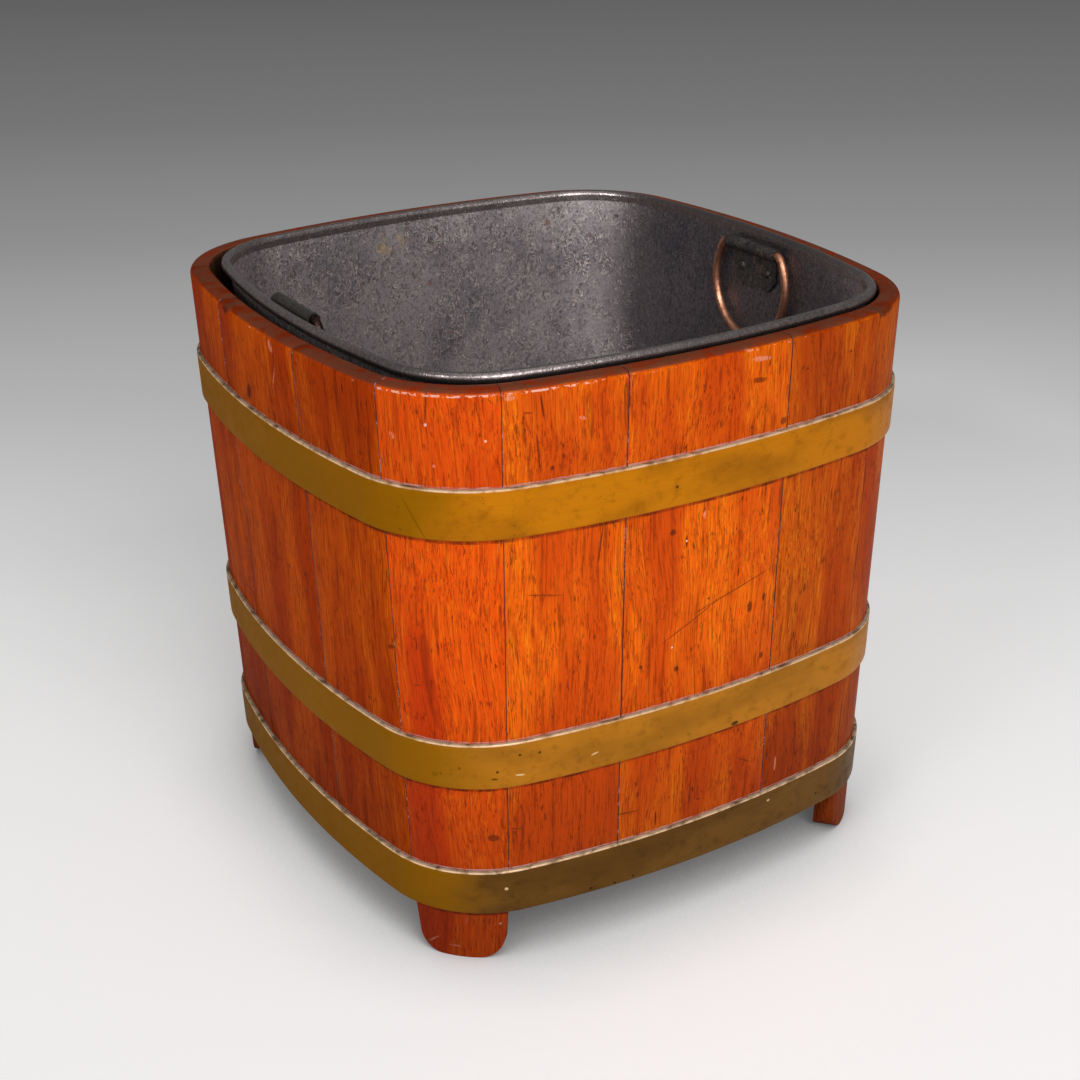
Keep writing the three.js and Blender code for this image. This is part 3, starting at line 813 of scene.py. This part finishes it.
@dataclass
class Staves:
    """The sixteen staves of the tub: three to a wall, and four at the corners with feet."""

    plan: WallPlan = field(default_factory=WallPlan)
    thickness: float = 14 * MM
    side_seam: float = 57 * MM
    corner_seam_x: float = math.radians(21.5)
    corner_seam_y: float = math.radians(18.2)
    joint: float = 0.30 * MM
    end: float = 38 * MM
    rim_out: float = 4 * MM
    rim_in: float = 3 * MM
    croze: tuple[float, float] = (56.7 * MM, 63.3 * MM)
    croze_depth: float = 4.5 * MM
    arris: float = 0.35 * MM
    foot_inset: float = 0.5 * MM
    foot_draft: float = 2.5 * MM
    foot_corner: float = 16 * MM
    foot_facets: int = 6
    rungs: int = 12
    inner_levels: tuple[float, ...] = (0.30, 0.20, 0.12)
    finish: VarnishedOak = VarnishedOak("#E4780E", "#CE5608", "#B64006", "#782606")
    # The inside faces are dark, partly with soot and partly as painted shade in the narrow gap
    # behind the liner.
    inside: VarnishedOak = VarnishedOak("#5A3A22", "#46301F", "#382416", "#1E120A", "#120A06",
                                        rim="#502A1C", roughness=0.7)
    # The walls' finishes differ in their own tone; the left wall's is also darker as painted shade,
    # on the side that gets less light.
    toned_and_shaded: dict[str, VarnishedOak] = field(default_factory=lambda: {
        "corner_front_left": VarnishedOak("#EE7808", "#E25004", "#C83A03", "#7E2203"),
        "corner_front_right": VarnishedOak("#DE800C", "#C65408", "#AE3E05", "#6E2205"),
        "front_right": VarnishedOak("#DE800C", "#C65408", "#AE3E05", "#6E2205"),
        "front": VarnishedOak(),
        "left": VarnishedOak("#E07209", "#C84E05", "#AE3A04", "#6C2004", film=0.05)})
    # How much more each stave's rim is chipped and lit with painted highlight.
    worn: dict[str, float] = field(default_factory=lambda: {
        "corner_front_left": 0.16, "front_left": 0.12, "front_middle": 0.04})
    marks: tuple[Mark, ...] = (
        *Wear.SHAKE.at(
            (223.5, 374, 0.6, 8.2, 3), (261.0, 370, 0.7, 7.5, -10), (260.8, 344, 0.7, 10.6, -5),
            (264.0, 278, 0.7, 12.5, 7), (272.3, 129, 2.8, 1.0, -12), (261.0, 107, 0.7, 2.8, 9),
            (267.6, 76, 0.8, 6.0)),
        *Wear.LINE.at(
            (260.3, 367, 3.5, 0.6, 8), (261.1, 253, 11.4, 0.6, 11), (269.2, 212, 21.9, 0.6, -26),
            (271.8, 225, 31.7, 0.6, -15), (273.3, 97, 6.9, 0.6, 31), (265.8, 87, 9.5, 0.7, 5),
            (255.9, 96, 4.8, 0.6, 12), (189.0, 171, 2.6, 0.7), (212.0, 195, 3.2, 0.7, -14)),
        *Wear.SCUFF.at(
            (255.2, 377, 3.3, 1.5), (263.0, 359, 2.6, 1.1, 27), (208.2, 353, 1.4, 2.2, -20),
            (225.5, 338, 1.1, 1.0, 28), (269.8, 282, 0.9, 2.6), (182.4, 375, 2.1, 3.8, -22),
            (182.4, 355, 7.7, 0.6, -69), (272.7, 373, 7.6, 1.5, 7), (271.9, 380, 3.2, 1.0, 26),
            (275.6, 84, 0.9, 5.4), (211.9, 10, 5.4, 0.7, -39), (223.7, 8, 3.9, 0.7),
            (229.9, 28, 0.7, 3.2, 10)),
        *Wear.KNOT.at(
            (261.5, 332, 1.3, 1.4), (268.0, 276, 2.1, 2.3), (268.8, 268, 0.9, 4.0),
            (266.4, 190, 1.2, 1.5), (268.5, 182, 1.6, 2.1), (178.9, 334, 3.2, 5.7, 17),
            (189.1, 371, 0.8, 3.1), (182.0, 329, 0.9, 3.3), (275.8, 359, 1.0, 0.8),
            (278.8, 362, 1.0, 0.8), (272.4, 331, 1.0, 0.8), (273.0, 210, 2.1, 4.3),
            (273.9, 214, 1.4, 3.2), (274.0, 172, 1.4, 2.4), (276.8, 210, 0.9, 3.3),
            (270.3, 225, 0.8, 0.8), (272.1, 237, 0.8, 3.5), (269.9, 89, 0.8, 2.3),
            (270.3, 80, 1.3, 0.8), (181.7, 227, 0.9, 2.0)),
        *Wear.STAIN.at(
            (178.9, 334, 2.0, 4.0, 17), (272.7, 360, 5.3, 1.9, 8), (274.4, 330, 2.5, 2.6),
            (244.9, 91, 3.7, 2.6), (199.0, 216, 3.1, 1.6, -18)),
        *Wear.CHIP.at(
            (222.9, 362, 0.8, 0.9), (245.6, 353, 0.8, 0.8), (268.8, 268, 0.7, 0.7),
            (268.2, 198, 0.8, 0.7), (247.2, 26, 0.8, 0.8)),
        *Wear.CHAR.at((292.5, 382, 13.0, 5.0), (176.5, 382, 6.0, 5.0)))

    def seams(self) -> list[float]:
        """Lists the facing angles of the sixteen seams, and the first again."""
        middle = math.asin(self.side_seam / self.plan.side_radius)
        quarter = [middle, self.corner_seam_x, math.pi / 2 - self.corner_seam_y,
                   math.pi / 2 - middle]
        angles = quarter + [math.pi - angle for angle in reversed(quarter)]
        angles += [angle + math.pi for angle in angles]
        return angles + [angles[0] + 2 * math.pi]

    def names(self) -> list[str]:
        """Lists the staves in the order of their seams."""
        order = ["right_back", "corner_back_right", "back_right", "back_middle", "back_left",
                 "corner_back_left", "left_back", "left_middle", "left_front",
                 "corner_front_left", "front_left", "front_middle", "front_right",
                 "corner_front_right", "right_front", "right_middle"]
        return ["stave_" + name for name in order]

    def section(self, bottom: float, bevel: float) -> Section:
        """Draws a stave seen from its edge.

        Args:
            bottom: Height of its lower end.
            bevel: Slope inside its lower end.

        Returns:
            Its corners, each an offset and a height.
        """
        plan, top = self.plan, self.plan.height
        outer = (plan.lean(top - self.rim_out) - self.rim_out, top - self.rim_out)
        inner = (plan.lean(top - self.rim_in) - self.thickness + self.rim_in, top - self.rim_in)
        levels = [bottom + (outer[1] - bottom) * k / self.rungs for k in range(self.rungs)]
        low, high = self.croze

        def inside(z: float, proud: float = 0.0) -> tuple[float, float]:
            """Gives a point of the inside face."""
            return (plan.lean(z) - self.thickness + proud, z)

        return [
            *((plan.lean(z), z) for z in levels),
            *arc(outer, self.rim_out, 0, 90, 6),
            *arc(inner, self.rim_in, 90, 180, 5),
            *(inside(z) for z in self.inner_levels),
            inside(high), inside(high, self.croze_depth),
            inside(low, self.croze_depth), inside(low),
            inside(bottom + bevel), inside(bottom, bevel / 2),
        ]

    def foot(self, mesh: Shape, start: float, stop: float) -> None:
        """Saws the end of a corner stave to a foot with rounded lower corners.

        Args:
            mesh: The stave, down to the ground.
            start: Facing angle of its first seam.
            stop: Facing angle of its last seam.
        """
        middle = (start + stop) / 2
        across = Vector((-math.sin(middle), math.cos(middle), 0.0))
        radius = self.foot_corner
        for angle, side in ((start, -1), (stop, 1)):
            seam = self.plan.point(angle, self.plan.lean(self.end), self.end)
            edge = seam.dot(across) - side * self.foot_inset
            sole = edge - side * self.foot_draft
            slant = Vector((edge - sole, self.end - radius)).normalized()
            cut(mesh, across * edge + Vector((0, 0, self.end)),
                across * slant.y * side - Vector((0, 0, abs(slant.x))))
            hub = sole - side * radius
            for step in range(self.foot_facets):
                turn = math.pi / 2 * (step + 0.5) / self.foot_facets
                out = across * side * math.cos(turn) - Vector((0, 0, math.sin(turn)))
                cut(mesh, across * hub + Vector((0, 0, radius)) + out * radius, out)

    def build(self) -> None:
        """Models every stave in place of its plain solid."""
        joint = WaxedGlintingJoint().material()
        sooty_and_shaded = self.inside.material("soot_stained_shaded_oak", 70)
        for k, (name, (start, stop)) in enumerate(zip(self.names(), pairwise(self.seams()))):
            mesh = bmesh.new()
            gaps = [self.joint / 2 / self.plan.arc_at(angle)[1] for angle in (start, stop)]
            corner = "corner" in name
            section = self.section(0.0, 0.0) if corner else self.section(self.end, 4 * MM)
            self.plan.sweep(mesh, section, start + gaps[0], stop - gaps[1])
            cap(mesh)
            if corner:
                self.foot(mesh, start, stop)
                bmesh.ops.recalc_face_normals(mesh, faces=mesh.faces)
            for face in ease(mesh, 50, self.arris):
                face.material_index = int(face.calc_center_median().z > self.end + 8 * MM)
            # Faces that look inwards take the dark inside finish: soot and painted shade.
            middle = (start + stop) / 2
            inwards = Vector((-math.cos(middle), -math.sin(middle), 0.0))
            mesh.normal_update()
            for face in mesh.faces:
                if face.normal.dot(inwards) > 0.5:
                    face.material_index = 2
            finish = next((self.toned_and_shaded[part] for part in self.toned_and_shaded if name[6:].startswith(part)),
                          self.finish)
            worn = next((self.worn[part] for part in self.worn if part in name), 0.0)
            marks = tuple(mark for mark in self.marks if start <= math.radians(mark.facing) < stop)
            material = finish.material(f"varnished_oak_{name[6:]}", 1.7 * k + 0.4, worn, marks)
            show(mesh, f"oak_{name}", name, "tub", "stave_oak", material, joint, sooty_and_shaded, sharp=25)
        LOG.info("staves: %d", k + 1)


@dataclass
class Hoops:
    """Three flat strips of brass driven on to the taper of the tub."""

    plan: WallPlan = field(default_factory=WallPlan)
    strip: float = HOOP_WIDTH
    thickness: float = 2.2 * MM
    gap: float = 0.3 * MM
    arris: float = 0.7 * MM
    marks: tuple[Mark, ...] = (
        *Wear.PIT.at(
            (210.0, 311, 1.0, 1.0), (210.2, 297, 1.0, 1.0), (216.0, 307, 0.7, 13.7, -29),
            (268.0, 306, 0.9, 0.9), (247.2, 140, 1.0, 1.0), (230.5, 143, 1.0, 1.0),
            (221.8, 138, 1.0, 1.0), (257.4, 150, 0.9, 0.9), (260.8, 149, 0.9, 0.9),
            (245.9, 135, 2.0, 0.7), (272.3, 130, 3.0, 1.6), (263.7, 39, 1.2, 0.9),
            (265.1, 38, 1.0, 0.9), (266.2, 39, 1.0, 0.9), (278.9, 46, 1.2, 1.2)),
        *Wear.TARNISH.at((218.8, 137, 2.4, 1.8)),
        *Wear.GLINT.at(
            (257.5, 136, 3.0, 0.7, 8), (263.8, 139, 2.6, 0.7, -12), (250.3, 54, 1.2, 1.2),
            (275.1, 59, 1.2, 0.9)),
        # Painted shade darkens the hoops' left face and dulls its metal.
        *Wear.BRASS_SHADE.at((182.0, 309, 190, 60), (182.0, 143, 190, 60), (182.0, 51, 190, 60)))

    def section(self, top: float) -> Section:
        """Draws the strip on edge, with worn corners on its outside."""
        lean, bottom = self.plan.lean, top - self.strip
        back, face = self.gap, self.gap + self.thickness
        rungs = [bottom + self.arris + (self.strip - 2 * self.arris) * k / 6 for k in range(1, 6)]
        upper = (lean(top) + face - self.arris, top - self.arris)
        lower = (lean(bottom) + face - self.arris, bottom + self.arris)
        return [
            (lean(bottom) + back, bottom),
            *arc(lower, self.arris, -90, 0, 3),
            *((lean(z) + face, z) for z in rungs),
            *arc(upper, self.arris, 0, 90, 3),
            (lean(top) + back, top),
        ]

    def build(self) -> None:
        """Models each hoop in place of its plain solid."""
        for k, hoop in enumerate(Hoop):
            mesh = bmesh.new()
            self.plan.whole(mesh, self.section(hoop.top))
            marks = tuple(mark for mark in self.marks
                          if hoop.top - self.strip < mark.level * MM < hoop.top)
            finish = AgedBrass(face=hoop.face, cloud=hoop.cloud)
            material = finish.material(f"aged_brass_{hoop.node}", hoop.top, 2.3 * k, marks)
            show(mesh, f"brass_{hoop.node}", hoop.node, "tub", "hoop_brass", material)
        LOG.info("hoops: %d", k + 1)


@dataclass
class Liner:
    """The loose sheet-iron liner: a leaning wall whose top rolls out over a wire."""

    plan: WallPlan = field(default_factory=WallPlan)
    finish: SootedIron = field(default_factory=SootedIron)
    wood: float = 14 * MM
    gap: float = 4 * MM
    wire: float = 2.1 * MM
    sheet: float = 1 * MM
    wire_gap: float = 0.4 * MM
    rise: float = 0.5 * MM
    flange: float = 10 * MM
    foot: float = 67.3 * MM
    shift: tuple[float, float] = (2.4 * MM, -2.0 * MM)
    laps: dict[str, Matrix] = field(default_factory=dict)
    lap_stand: float = 5.65 * MM
    lap_width: float = 24 * MM
    lap_thickness: float = 0.9 * MM
    marks: tuple[Mark, ...] = (
        *Wear.OCHRE.at((91.8, 365, 15.0, 7.5, 2, 25)),
        *Wear.RUST.at((89.0, 330.5, 2.4, 2.0, 0, 25), (80.6, 364.3, 2.6, 2.0, 0, 25)),
        # A painted highlight along the edge of the sheet's overlap.
        *Wear.SEAM_HIGHLIGHT.at((359.3, 300, 0.7, 46, 0, 25)),
        # Painted shade: a small dark in a dent, and a wide dark over the inside of the right wall,
        # where little light falls.
        *Wear.IRON_SHADE.at((32.9, 368, 2.4, 1.4, 0, 25), (1.0, 320, 150, 130, 0, 27)))

    @property
    def roll(self) -> float:
        """Outside radius of the rolled rim."""
        return self.wire + self.wire_gap + self.sheet

    @property
    def bead(self) -> tuple[float, float]:
        """Middle of the rolled rim: offset and height."""
        return (-self.wood - self.gap - self.roll, self.plan.height + self.rise)

    def face(self, z: float) -> float:
        """Offset of the inside face of the wall at a height."""
        return self.bead[0] - self.roll - self.plan.slope * (self.bead[1] - z)

    def section(self) -> Section:
        """Draws the sheet on edge, from the flange at its foot to the end of its roll."""
        top = self.foot + self.sheet
        rungs = [top + (self.bead[1] - top) * k / 10 for k in range(1, 10)]
        return [
            (self.face(top) - self.flange, self.foot),
            (self.face(self.foot) + self.sheet, self.foot),
            *((self.face(z) + self.sheet, z) for z in rungs),
            *arc(self.bead, self.roll - self.sheet, 180, -115, 18),
            *arc(self.bead, self.roll, -115, 180, 20),
            *((self.face(z), z) for z in reversed(rungs)),
            (self.face(top), top),
            (self.face(top) - self.flange, top),
        ]

    def lap(self, mesh: Shape, place: Matrix) -> None:
        """Lays the feathered edge of the sheet's overlap down the inside of the wall.

        Args:
            mesh: The wall.
            place: Frame of the handle that hangs over the overlap.
        """
        low = -self.lap_stand - self.sheet / 2
        top = Vector((low, 0, 0))
        corners = [top, Vector((self.lap_thickness - self.lap_stand, 0, 0)),
                   Vector((-self.lap_stand, self.lap_width, 0)), Vector((low, self.lap_width, 0))]
        face = mesh.faces.new([mesh.verts.new(corner) for corner in corners])
        pulled = bmesh.ops.extrude_face_region(mesh, geom=[face])["geom"]
        verts = only(bmesh.types.BMVert, pulled)
        length = place.translation.z - self.foot - 3 * self.sheet
        bmesh.ops.translate(mesh, verts=verts, vec=(0, 0, -length))
        bmesh.ops.transform(mesh, matrix=place, verts=[*face.verts, *verts])

    def build(self) -> None:
        """Models the wall and gives the bottom and the wire their finish."""
        mesh = bmesh.new()
        self.plan.whole(mesh, self.section())
        bmesh.ops.translate(mesh, verts=mesh.verts, vec=(*self.shift, 0.0))
        for place in self.laps.values():
            self.lap(mesh, place)
        bmesh.ops.recalc_face_normals(mesh, faces=mesh.faces)
        material = self.finish.material("sooted_iron_liner", 0.0, self.marks)
        show(mesh, "iron_liner_wall", "liner_wall", "liner", "liner_iron", material)
        for node in ("liner_bottom", "rim_wire"):
            dress(node, material)
        LOG.info("liner: wall, bottom and wire")


@dataclass
class RingHandle:
    """One ring of wire that hangs in a rolled hinge leaf riveted to the liner."""

    side: str
    hinge: Place
    shaded_above: float
    iron: SootedIron = SootedIron("#4C4743", "#3A3633", "#211E1C", "#343336", "#756D66", "#3A332F",
                                  metallic=0.6)
    plan: WallPlan = field(default_factory=WallPlan)
    wire: float = 2.9 * MM
    radius: float = 39.5 * MM
    hang: float = 25 * MM
    bend: float = 6 * MM
    parting: float = 1 * MM
    clearance: float = 0.33 * MM
    sheet: float = 1.2 * MM
    stand: float = 5.65 * MM
    back: float = 1.2 * MM
    plate_width: float = 47 * MM
    plate_drop: float = 29 * MM
    chamfer: float = 8 * MM
    sleeve_gap: float = 0.7 * MM
    rivet_spacing: float = 28 * MM
    rivet_drop: float = 16 * MM
    rivet_head: float = 3.4 * MM
    rivet_dome: float = 1.7 * MM
    rivet_shank: float = 1.6 * MM
    rivet_tail: tuple[float, float] = (2.9 * MM, 2.4 * MM)
    tail_height: float = 1 * MM
    seat: float = 0.3 * MM
    wall: float = 1 * MM

    @property
    def straight(self) -> float:
        """Half the straight top of the ring."""
        return math.sqrt((self.radius - self.bend) ** 2 - (self.hang - self.bend) ** 2)

    def place(self) -> Matrix:
        """Gives the handle's frame: the hinge line is its Y axis, and X points inwards."""
        turn = Matrix.Rotation(0.0 if self.side == "left" else math.pi, 4, "Z")
        tilt = Matrix.Rotation(-math.atan(self.plan.slope), 4, "Y")
        return Matrix.Translation(self.hinge) @ turn @ tilt

    def put(self, mesh: Shape, *said: str | bpy.types.Material) -> None:
        """Moves a shape from the handle's frame to its place, and shows it as `show` says."""
        merged(mesh)
        bmesh.ops.transform(mesh, matrix=self.place(), verts=mesh.verts)
        show(mesh, *said)

    def ring(self) -> Shape:
        """Bends the wire: half the top, a bend, the ring, a bend and the other half.

        Returns:
            The ring in the handle's frame.
        """
        mesh = bmesh.new()
        made = bmesh.ops.create_circle(mesh, cap_ends=True, radius=self.wire, segments=20)
        bmesh.ops.rotate(mesh, verts=made["verts"], cent=(0, 0, 0),
                         matrix=Matrix.Rotation(math.pi / 2, 3, "X"))
        bmesh.ops.translate(mesh, verts=made["verts"], vec=(0, self.parting / 2, 0))
        lean = math.asin(self.straight / (self.radius - self.bend))
        geometry = self.drawn(mesh, list(mesh.faces), self.straight - self.parting / 2)
        legs = [((0, self.straight, -self.bend), -lean, 6),
                ((0, 0, -self.hang), 2 * lean - 2 * math.pi, 72),
                ((0, -self.straight, -self.bend), -lean, 6)]
        for centre, angle, steps in legs:
            spun = bmesh.ops.spin(mesh, geom=geometry, cent=centre, axis=(1, 0, 0),
                                  angle=angle, steps=steps, use_merge=False)
            geometry = only(bmesh.types.BMFace, spun["geom_last"])
        self.drawn(mesh, geometry, self.straight - self.parting / 2)
        return mesh

    def drawn(self, mesh: Shape, faces: list, length: float) -> list:
        """Draws the end of the wire out along +Y.

        Args:
            mesh: The wire.
            faces: Its end.
            length: How far it goes.

        Returns:
            Its new end.
        """
        pulled = bmesh.ops.extrude_face_region(mesh, geom=faces)["geom"]
        verts = only(bmesh.types.BMVert, pulled)
        bmesh.ops.translate(mesh, verts=verts, vec=(0, length, 0))
        return only(bmesh.types.BMFace, pulled)

    def leaf(self) -> Shape:
        """Rolls the hinge leaf over the wire and cuts its corners.

        Returns:
            The leaf in the handle's frame.
        """
        mesh = bmesh.new()
        inside = self.wire + self.clearance
        outer = inside + self.sheet
        near, far = self.back - self.stand, self.back - self.stand + self.sheet
        half, wide = self.plate_width / 2, self.straight - self.sleeve_gap
        plate = [(near, -self.plate_drop), (far, -self.plate_drop), (far, -outer), (near, -outer)]
        roll = [(near, -outer), (far, -outer), *arc((0, 0), inside, 180, -125, 28),
                *arc((0, 0), outer, -125, 180, 32)]
        for profile in (plate, roll):
            mesh.faces.new([mesh.verts.new((x, -half, z)) for x, z in profile])
        bmesh.ops.remove_doubles(mesh, verts=mesh.verts, dist=1e-6)

        def level(face: bmesh.types.BMFace) -> float:
            """Gives the height of a face's middle."""
            return face.calc_center_median().z

        ends = sorted(mesh.faces, key=level)
        others = sorted(self.drawn(mesh, ends, 2 * half), key=level)
        # The roll is longer than the plate is wide, and reaches past it at both ends.
        self.drawn(mesh, [ends[1]], half - wide)
        self.drawn(mesh, [others[1]], wide - half)
        bevel = self.chamfer / 2
        for side in (-1, 1):
            corner = Vector((0, side * (half - bevel), bevel - self.plate_drop))
            cut(mesh, corner, Vector((0, side, -1)).normalized())
        return mesh

    def rivet(self, side: int) -> Shape:
        """Turns one rivet with a domed head.

        Args:
            side: -1 or 1 for the two ends of the leaf.

        Returns:
            The rivet in the handle's frame.
        """
        mesh = bmesh.new()
        front = self.back + self.sheet + self.seat - self.stand
        back = -self.wall - self.seat - self.stand
        sphere = (self.rivet_head ** 2 + self.rivet_dome ** 2) / (2 * self.rivet_dome)
        rise = math.degrees(math.asin(self.rivet_head / sphere))
        dome = arc((front + self.rivet_dome - sphere, 0), sphere, rise, 0, 8)
        broad, narrow = self.rivet_tail
        tail = back - self.tail_height
        profile = [(tail, 0), (tail, narrow), (back, broad),
                   (back, self.rivet_shank), (front, self.rivet_shank), *dome]
        verts = [mesh.verts.new((x, 0, r)) for x, r in profile]
        edges = [mesh.edges.new(pair) for pair in pairwise(verts)]
        bmesh.ops.spin(mesh, geom=verts + edges, cent=(0, 0, 0), axis=(1, 0, 0),
                       angle=2 * math.pi, steps=24, use_merge=True)
        bmesh.ops.translate(mesh, verts=mesh.verts,
                            vec=(0, side * self.rivet_spacing / 2, -self.rivet_drop))
        return mesh

    def build(self) -> None:
        """Models the ring, the leaf and its two rivets."""
        dark = self.iron.material(f"black_iron_{self.side}", 3.0)
        copper = CopperedWire().material(f"coppered_wire_{self.side}", 1.0, self.shaded_above)
        self.put(self.ring(), f"copper_ring_{self.side}", f"ring_{self.side}",
                 f"ring_handle_{self.side}", "ring_copper", copper)
        self.put(self.leaf(), f"iron_leaf_{self.side}", f"hinge_leaf_{self.side}", "liner",
                 "liner_iron", dark)
        for number, side in ((1, -1), (2, 1)):
            self.put(self.rivet(side), f"iron_rivet_{self.side}_{number}",
                     f"rivet_{self.side}_{number}", "liner", "liner_iron", dark)
        LOG.info("%s handle: ring, leaf and rivets", self.side)


def dress(node: str, material: bpy.types.Material) -> None:
    """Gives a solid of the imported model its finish.

    Args:
        node: Name of the solid.
        material: Its finish.
    """
    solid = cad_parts[node]
    if not solid.material_slots:
        solid.data.materials.append(material)
    for place in solid.material_slots:
        place.material = material


@dataclass
class Studio:
    """A pale floor, soft lamps and the camera of the photograph."""

    azimuth: float = math.radians(-30.458)
    elevation: float = math.radians(24.18)
    distance: float = 1.2592
    aim: float = 0.192
    focal: float = 1807.4 / 1080 * 36
    roll: float = -0.0151
    shift: tuple[float, float] = (2.08 / 1080, -2.77 / 1080)
    greys: tuple[tuple[float, str], ...] = (
        (-0.3, "#F0F0F0"), (-0.1, "#F5F5F5"), (0.12, "#F4F4F4"), (0.3, "#F1F1F1"),
        (0.53, "#E6E6E6"), (0.82, "#D3D3D3"), (1.54, "#B1B1B1"),
        (2.46, "#989898"), (4.2, "#838383"))
    painted_shadow_reach: float = 0.12
    glow: float = 2.1
    glow_share: float = 0.15

    def camera(self) -> None:
        """Sets up the camera."""
        back = Vector((math.sin(self.azimuth) * math.cos(self.elevation),
                       -math.cos(self.azimuth) * math.cos(self.elevation),
                       math.sin(self.elevation)))
        data = bpy.data.cameras.new("camera")
        data.lens, data.sensor_width = self.focal, 36
        data.shift_x, data.shift_y = self.shift
        view = placed("camera", data)
        view.location = Vector((0, 0, self.aim)) + back * self.distance
        look = back.to_track_quat("Z", "Y").to_matrix()
        view.rotation_euler = (look @ Matrix.Rotation(self.roll, 3, "Z")).to_euler()
        bpy.context.scene.camera = view

    def lamp(self, kind: str, place: Place, target: Place, power: float, **settings) -> None:
        """Hangs a lamp.

        Args:
            kind: "AREA" or "SPOT".
            place: Where it hangs.
            target: What it points at.
            power: Watts.
            **settings: Its size and shape.
        """
        data = bpy.data.lights.new("lamp", kind)
        for name, value in {"energy": power, **settings}.items():
            setattr(data, name, value)
        lamp = placed("lamp", data)
        lamp.location = place
        lamp.rotation_euler = (Vector(place) - Vector(target)).to_track_quat("Z", "Y").to_euler()

    def floor(self) -> None:
        """Lays a floor that is white near the camera and falls to grey far behind, a painted
        falloff of the light.
        """
        mesh = bmesh.new()
        bmesh.ops.create_grid(mesh, x_segments=1, y_segments=1, size=12)
        data = bpy.data.meshes.new("floor")
        mesh.to_mesh(data)
        mesh.free()
        floor = placed("floor", data)
        paint = Paint("pale_paper_floor", self.greys[0][1])
        away = (-math.sin(self.azimuth), math.cos(self.azimuth), 0.0)
        depth = paint.add("ShaderNodeVectorMath", {0: paint.place(), 1: away},
                          operation="DOT_PRODUCT").outputs["Value"]
        # The greys paint the light falling off far from the lamps.
        for (near, _), (far, code) in pairwise(self.greys):
            paint.lay(paint.add("ShaderNodeMapRange", {
                "Value": depth, "From Min": near, "From Max": far}).outputs[0], code)
        # Painted shadow: the floor's colour darkens close to what stands on it, by ambient
        # occlusion, and this shadow keeps its soft dark heart.
        clear = paint.add("ShaderNodeAmbientOcclusion", {"Distance": self.painted_shadow_reach},
                          samples=8).outputs["AO"]
        paint.lay(paint.ramp(clear, 0.10, 0.92, 0.75, 0.0), "#000000")
        path = paint.add("ShaderNodeLightPath").outputs
        seen = path["Is Camera Ray"]
        for ray in ("Is Glossy Ray", "Is Transmission Ray"):
            seen = paint.add("ShaderNodeMath", {0: seen, 1: path[ray]}, operation="ADD").outputs[0]
        glow = paint.add("ShaderNodeEmission", {"Color": paint.colour, "Strength": self.glow})
        mix = paint.add("ShaderNodeMixShader", {
            0: paint.times(seen, self.glow_share), 1: paint.shader.outputs[0], 2: glow.outputs[0]})
        paint.feed(paint.output, {"Surface": mix.outputs[0]})
        data.materials.append(paint.done(Roughness=0.9))

    def build(self) -> None:
        """Sets up the camera, the floor, the lamps and the world."""
        self.camera()
        self.floor()
        heart = (0.0, 0.0, 0.2)
        for place, size, power in (((-0.35, -2.0, 1.7), 1.3, 40), ((-1.8, -0.85, 1.5), 0.8, 10),
                                   ((0.0, -0.4, 2.4), 2.0, 7)):
            self.lamp("AREA", place, heart, power, shape="SQUARE", size=size)
        # A narrow spot puts a sheen into the far corner of the liner.
        self.lamp("SPOT", (-1.56, -0.69, 1.43), (0.135, 0.150, 0.330), 88,
                  shadow_soft_size=0.12, spot_size=math.radians(10), spot_blend=1.0)
        world = bpy.data.worlds.new("studio")
        world.use_nodes = True
        sky = world.node_tree.nodes["Background"]
        sky.inputs["Color"].default_value = linear("#D8D8D8")
        sky.inputs["Strength"].default_value = 0.26
        bpy.context.scene.world = world
        bpy.context.scene.view_settings.view_transform = "Standard"
        LOG.info("studio: camera, floor and lamps")


def dress_base() -> None:
    """Gives the boards and dowels of the base their finish."""
    plain = VarnishedOak(light="#B4743C", middle="#9A5B2B", dark="#6E3C1A", pore="#3D1F0E",
                         rim="#6E3C1A", roughness=0.6)
    for k, node in enumerate(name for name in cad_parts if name.startswith("base_")):
        dress(node, plain.material(f"bare_oak_{node}", 40 + 2.1 * k))
    LOG.info("base: boards and dowels")


def main() -> None:
    """Builds the studio and the bucket."""
    logging.basicConfig(level=logging.INFO, format="%(name)s %(message)s")
    Studio().build()
    Staves().build()
    Hoops().build()
    dress_base()
    # Each ring is painted dark as shade above its given height.
    handles = [RingHandle("left", (-166.990 * MM, 4.5 * MM, 383.703 * MM), shaded_above=370 * MM),
               RingHandle("right", (171.466 * MM, -8.5 * MM, 374.703 * MM), shaded_above=380 * MM)]
    Liner(laps={handle.side: handle.place() for handle in handles}).build()
    for handle in handles:
        handle.build()


if __name__ == "__main__":
    main()
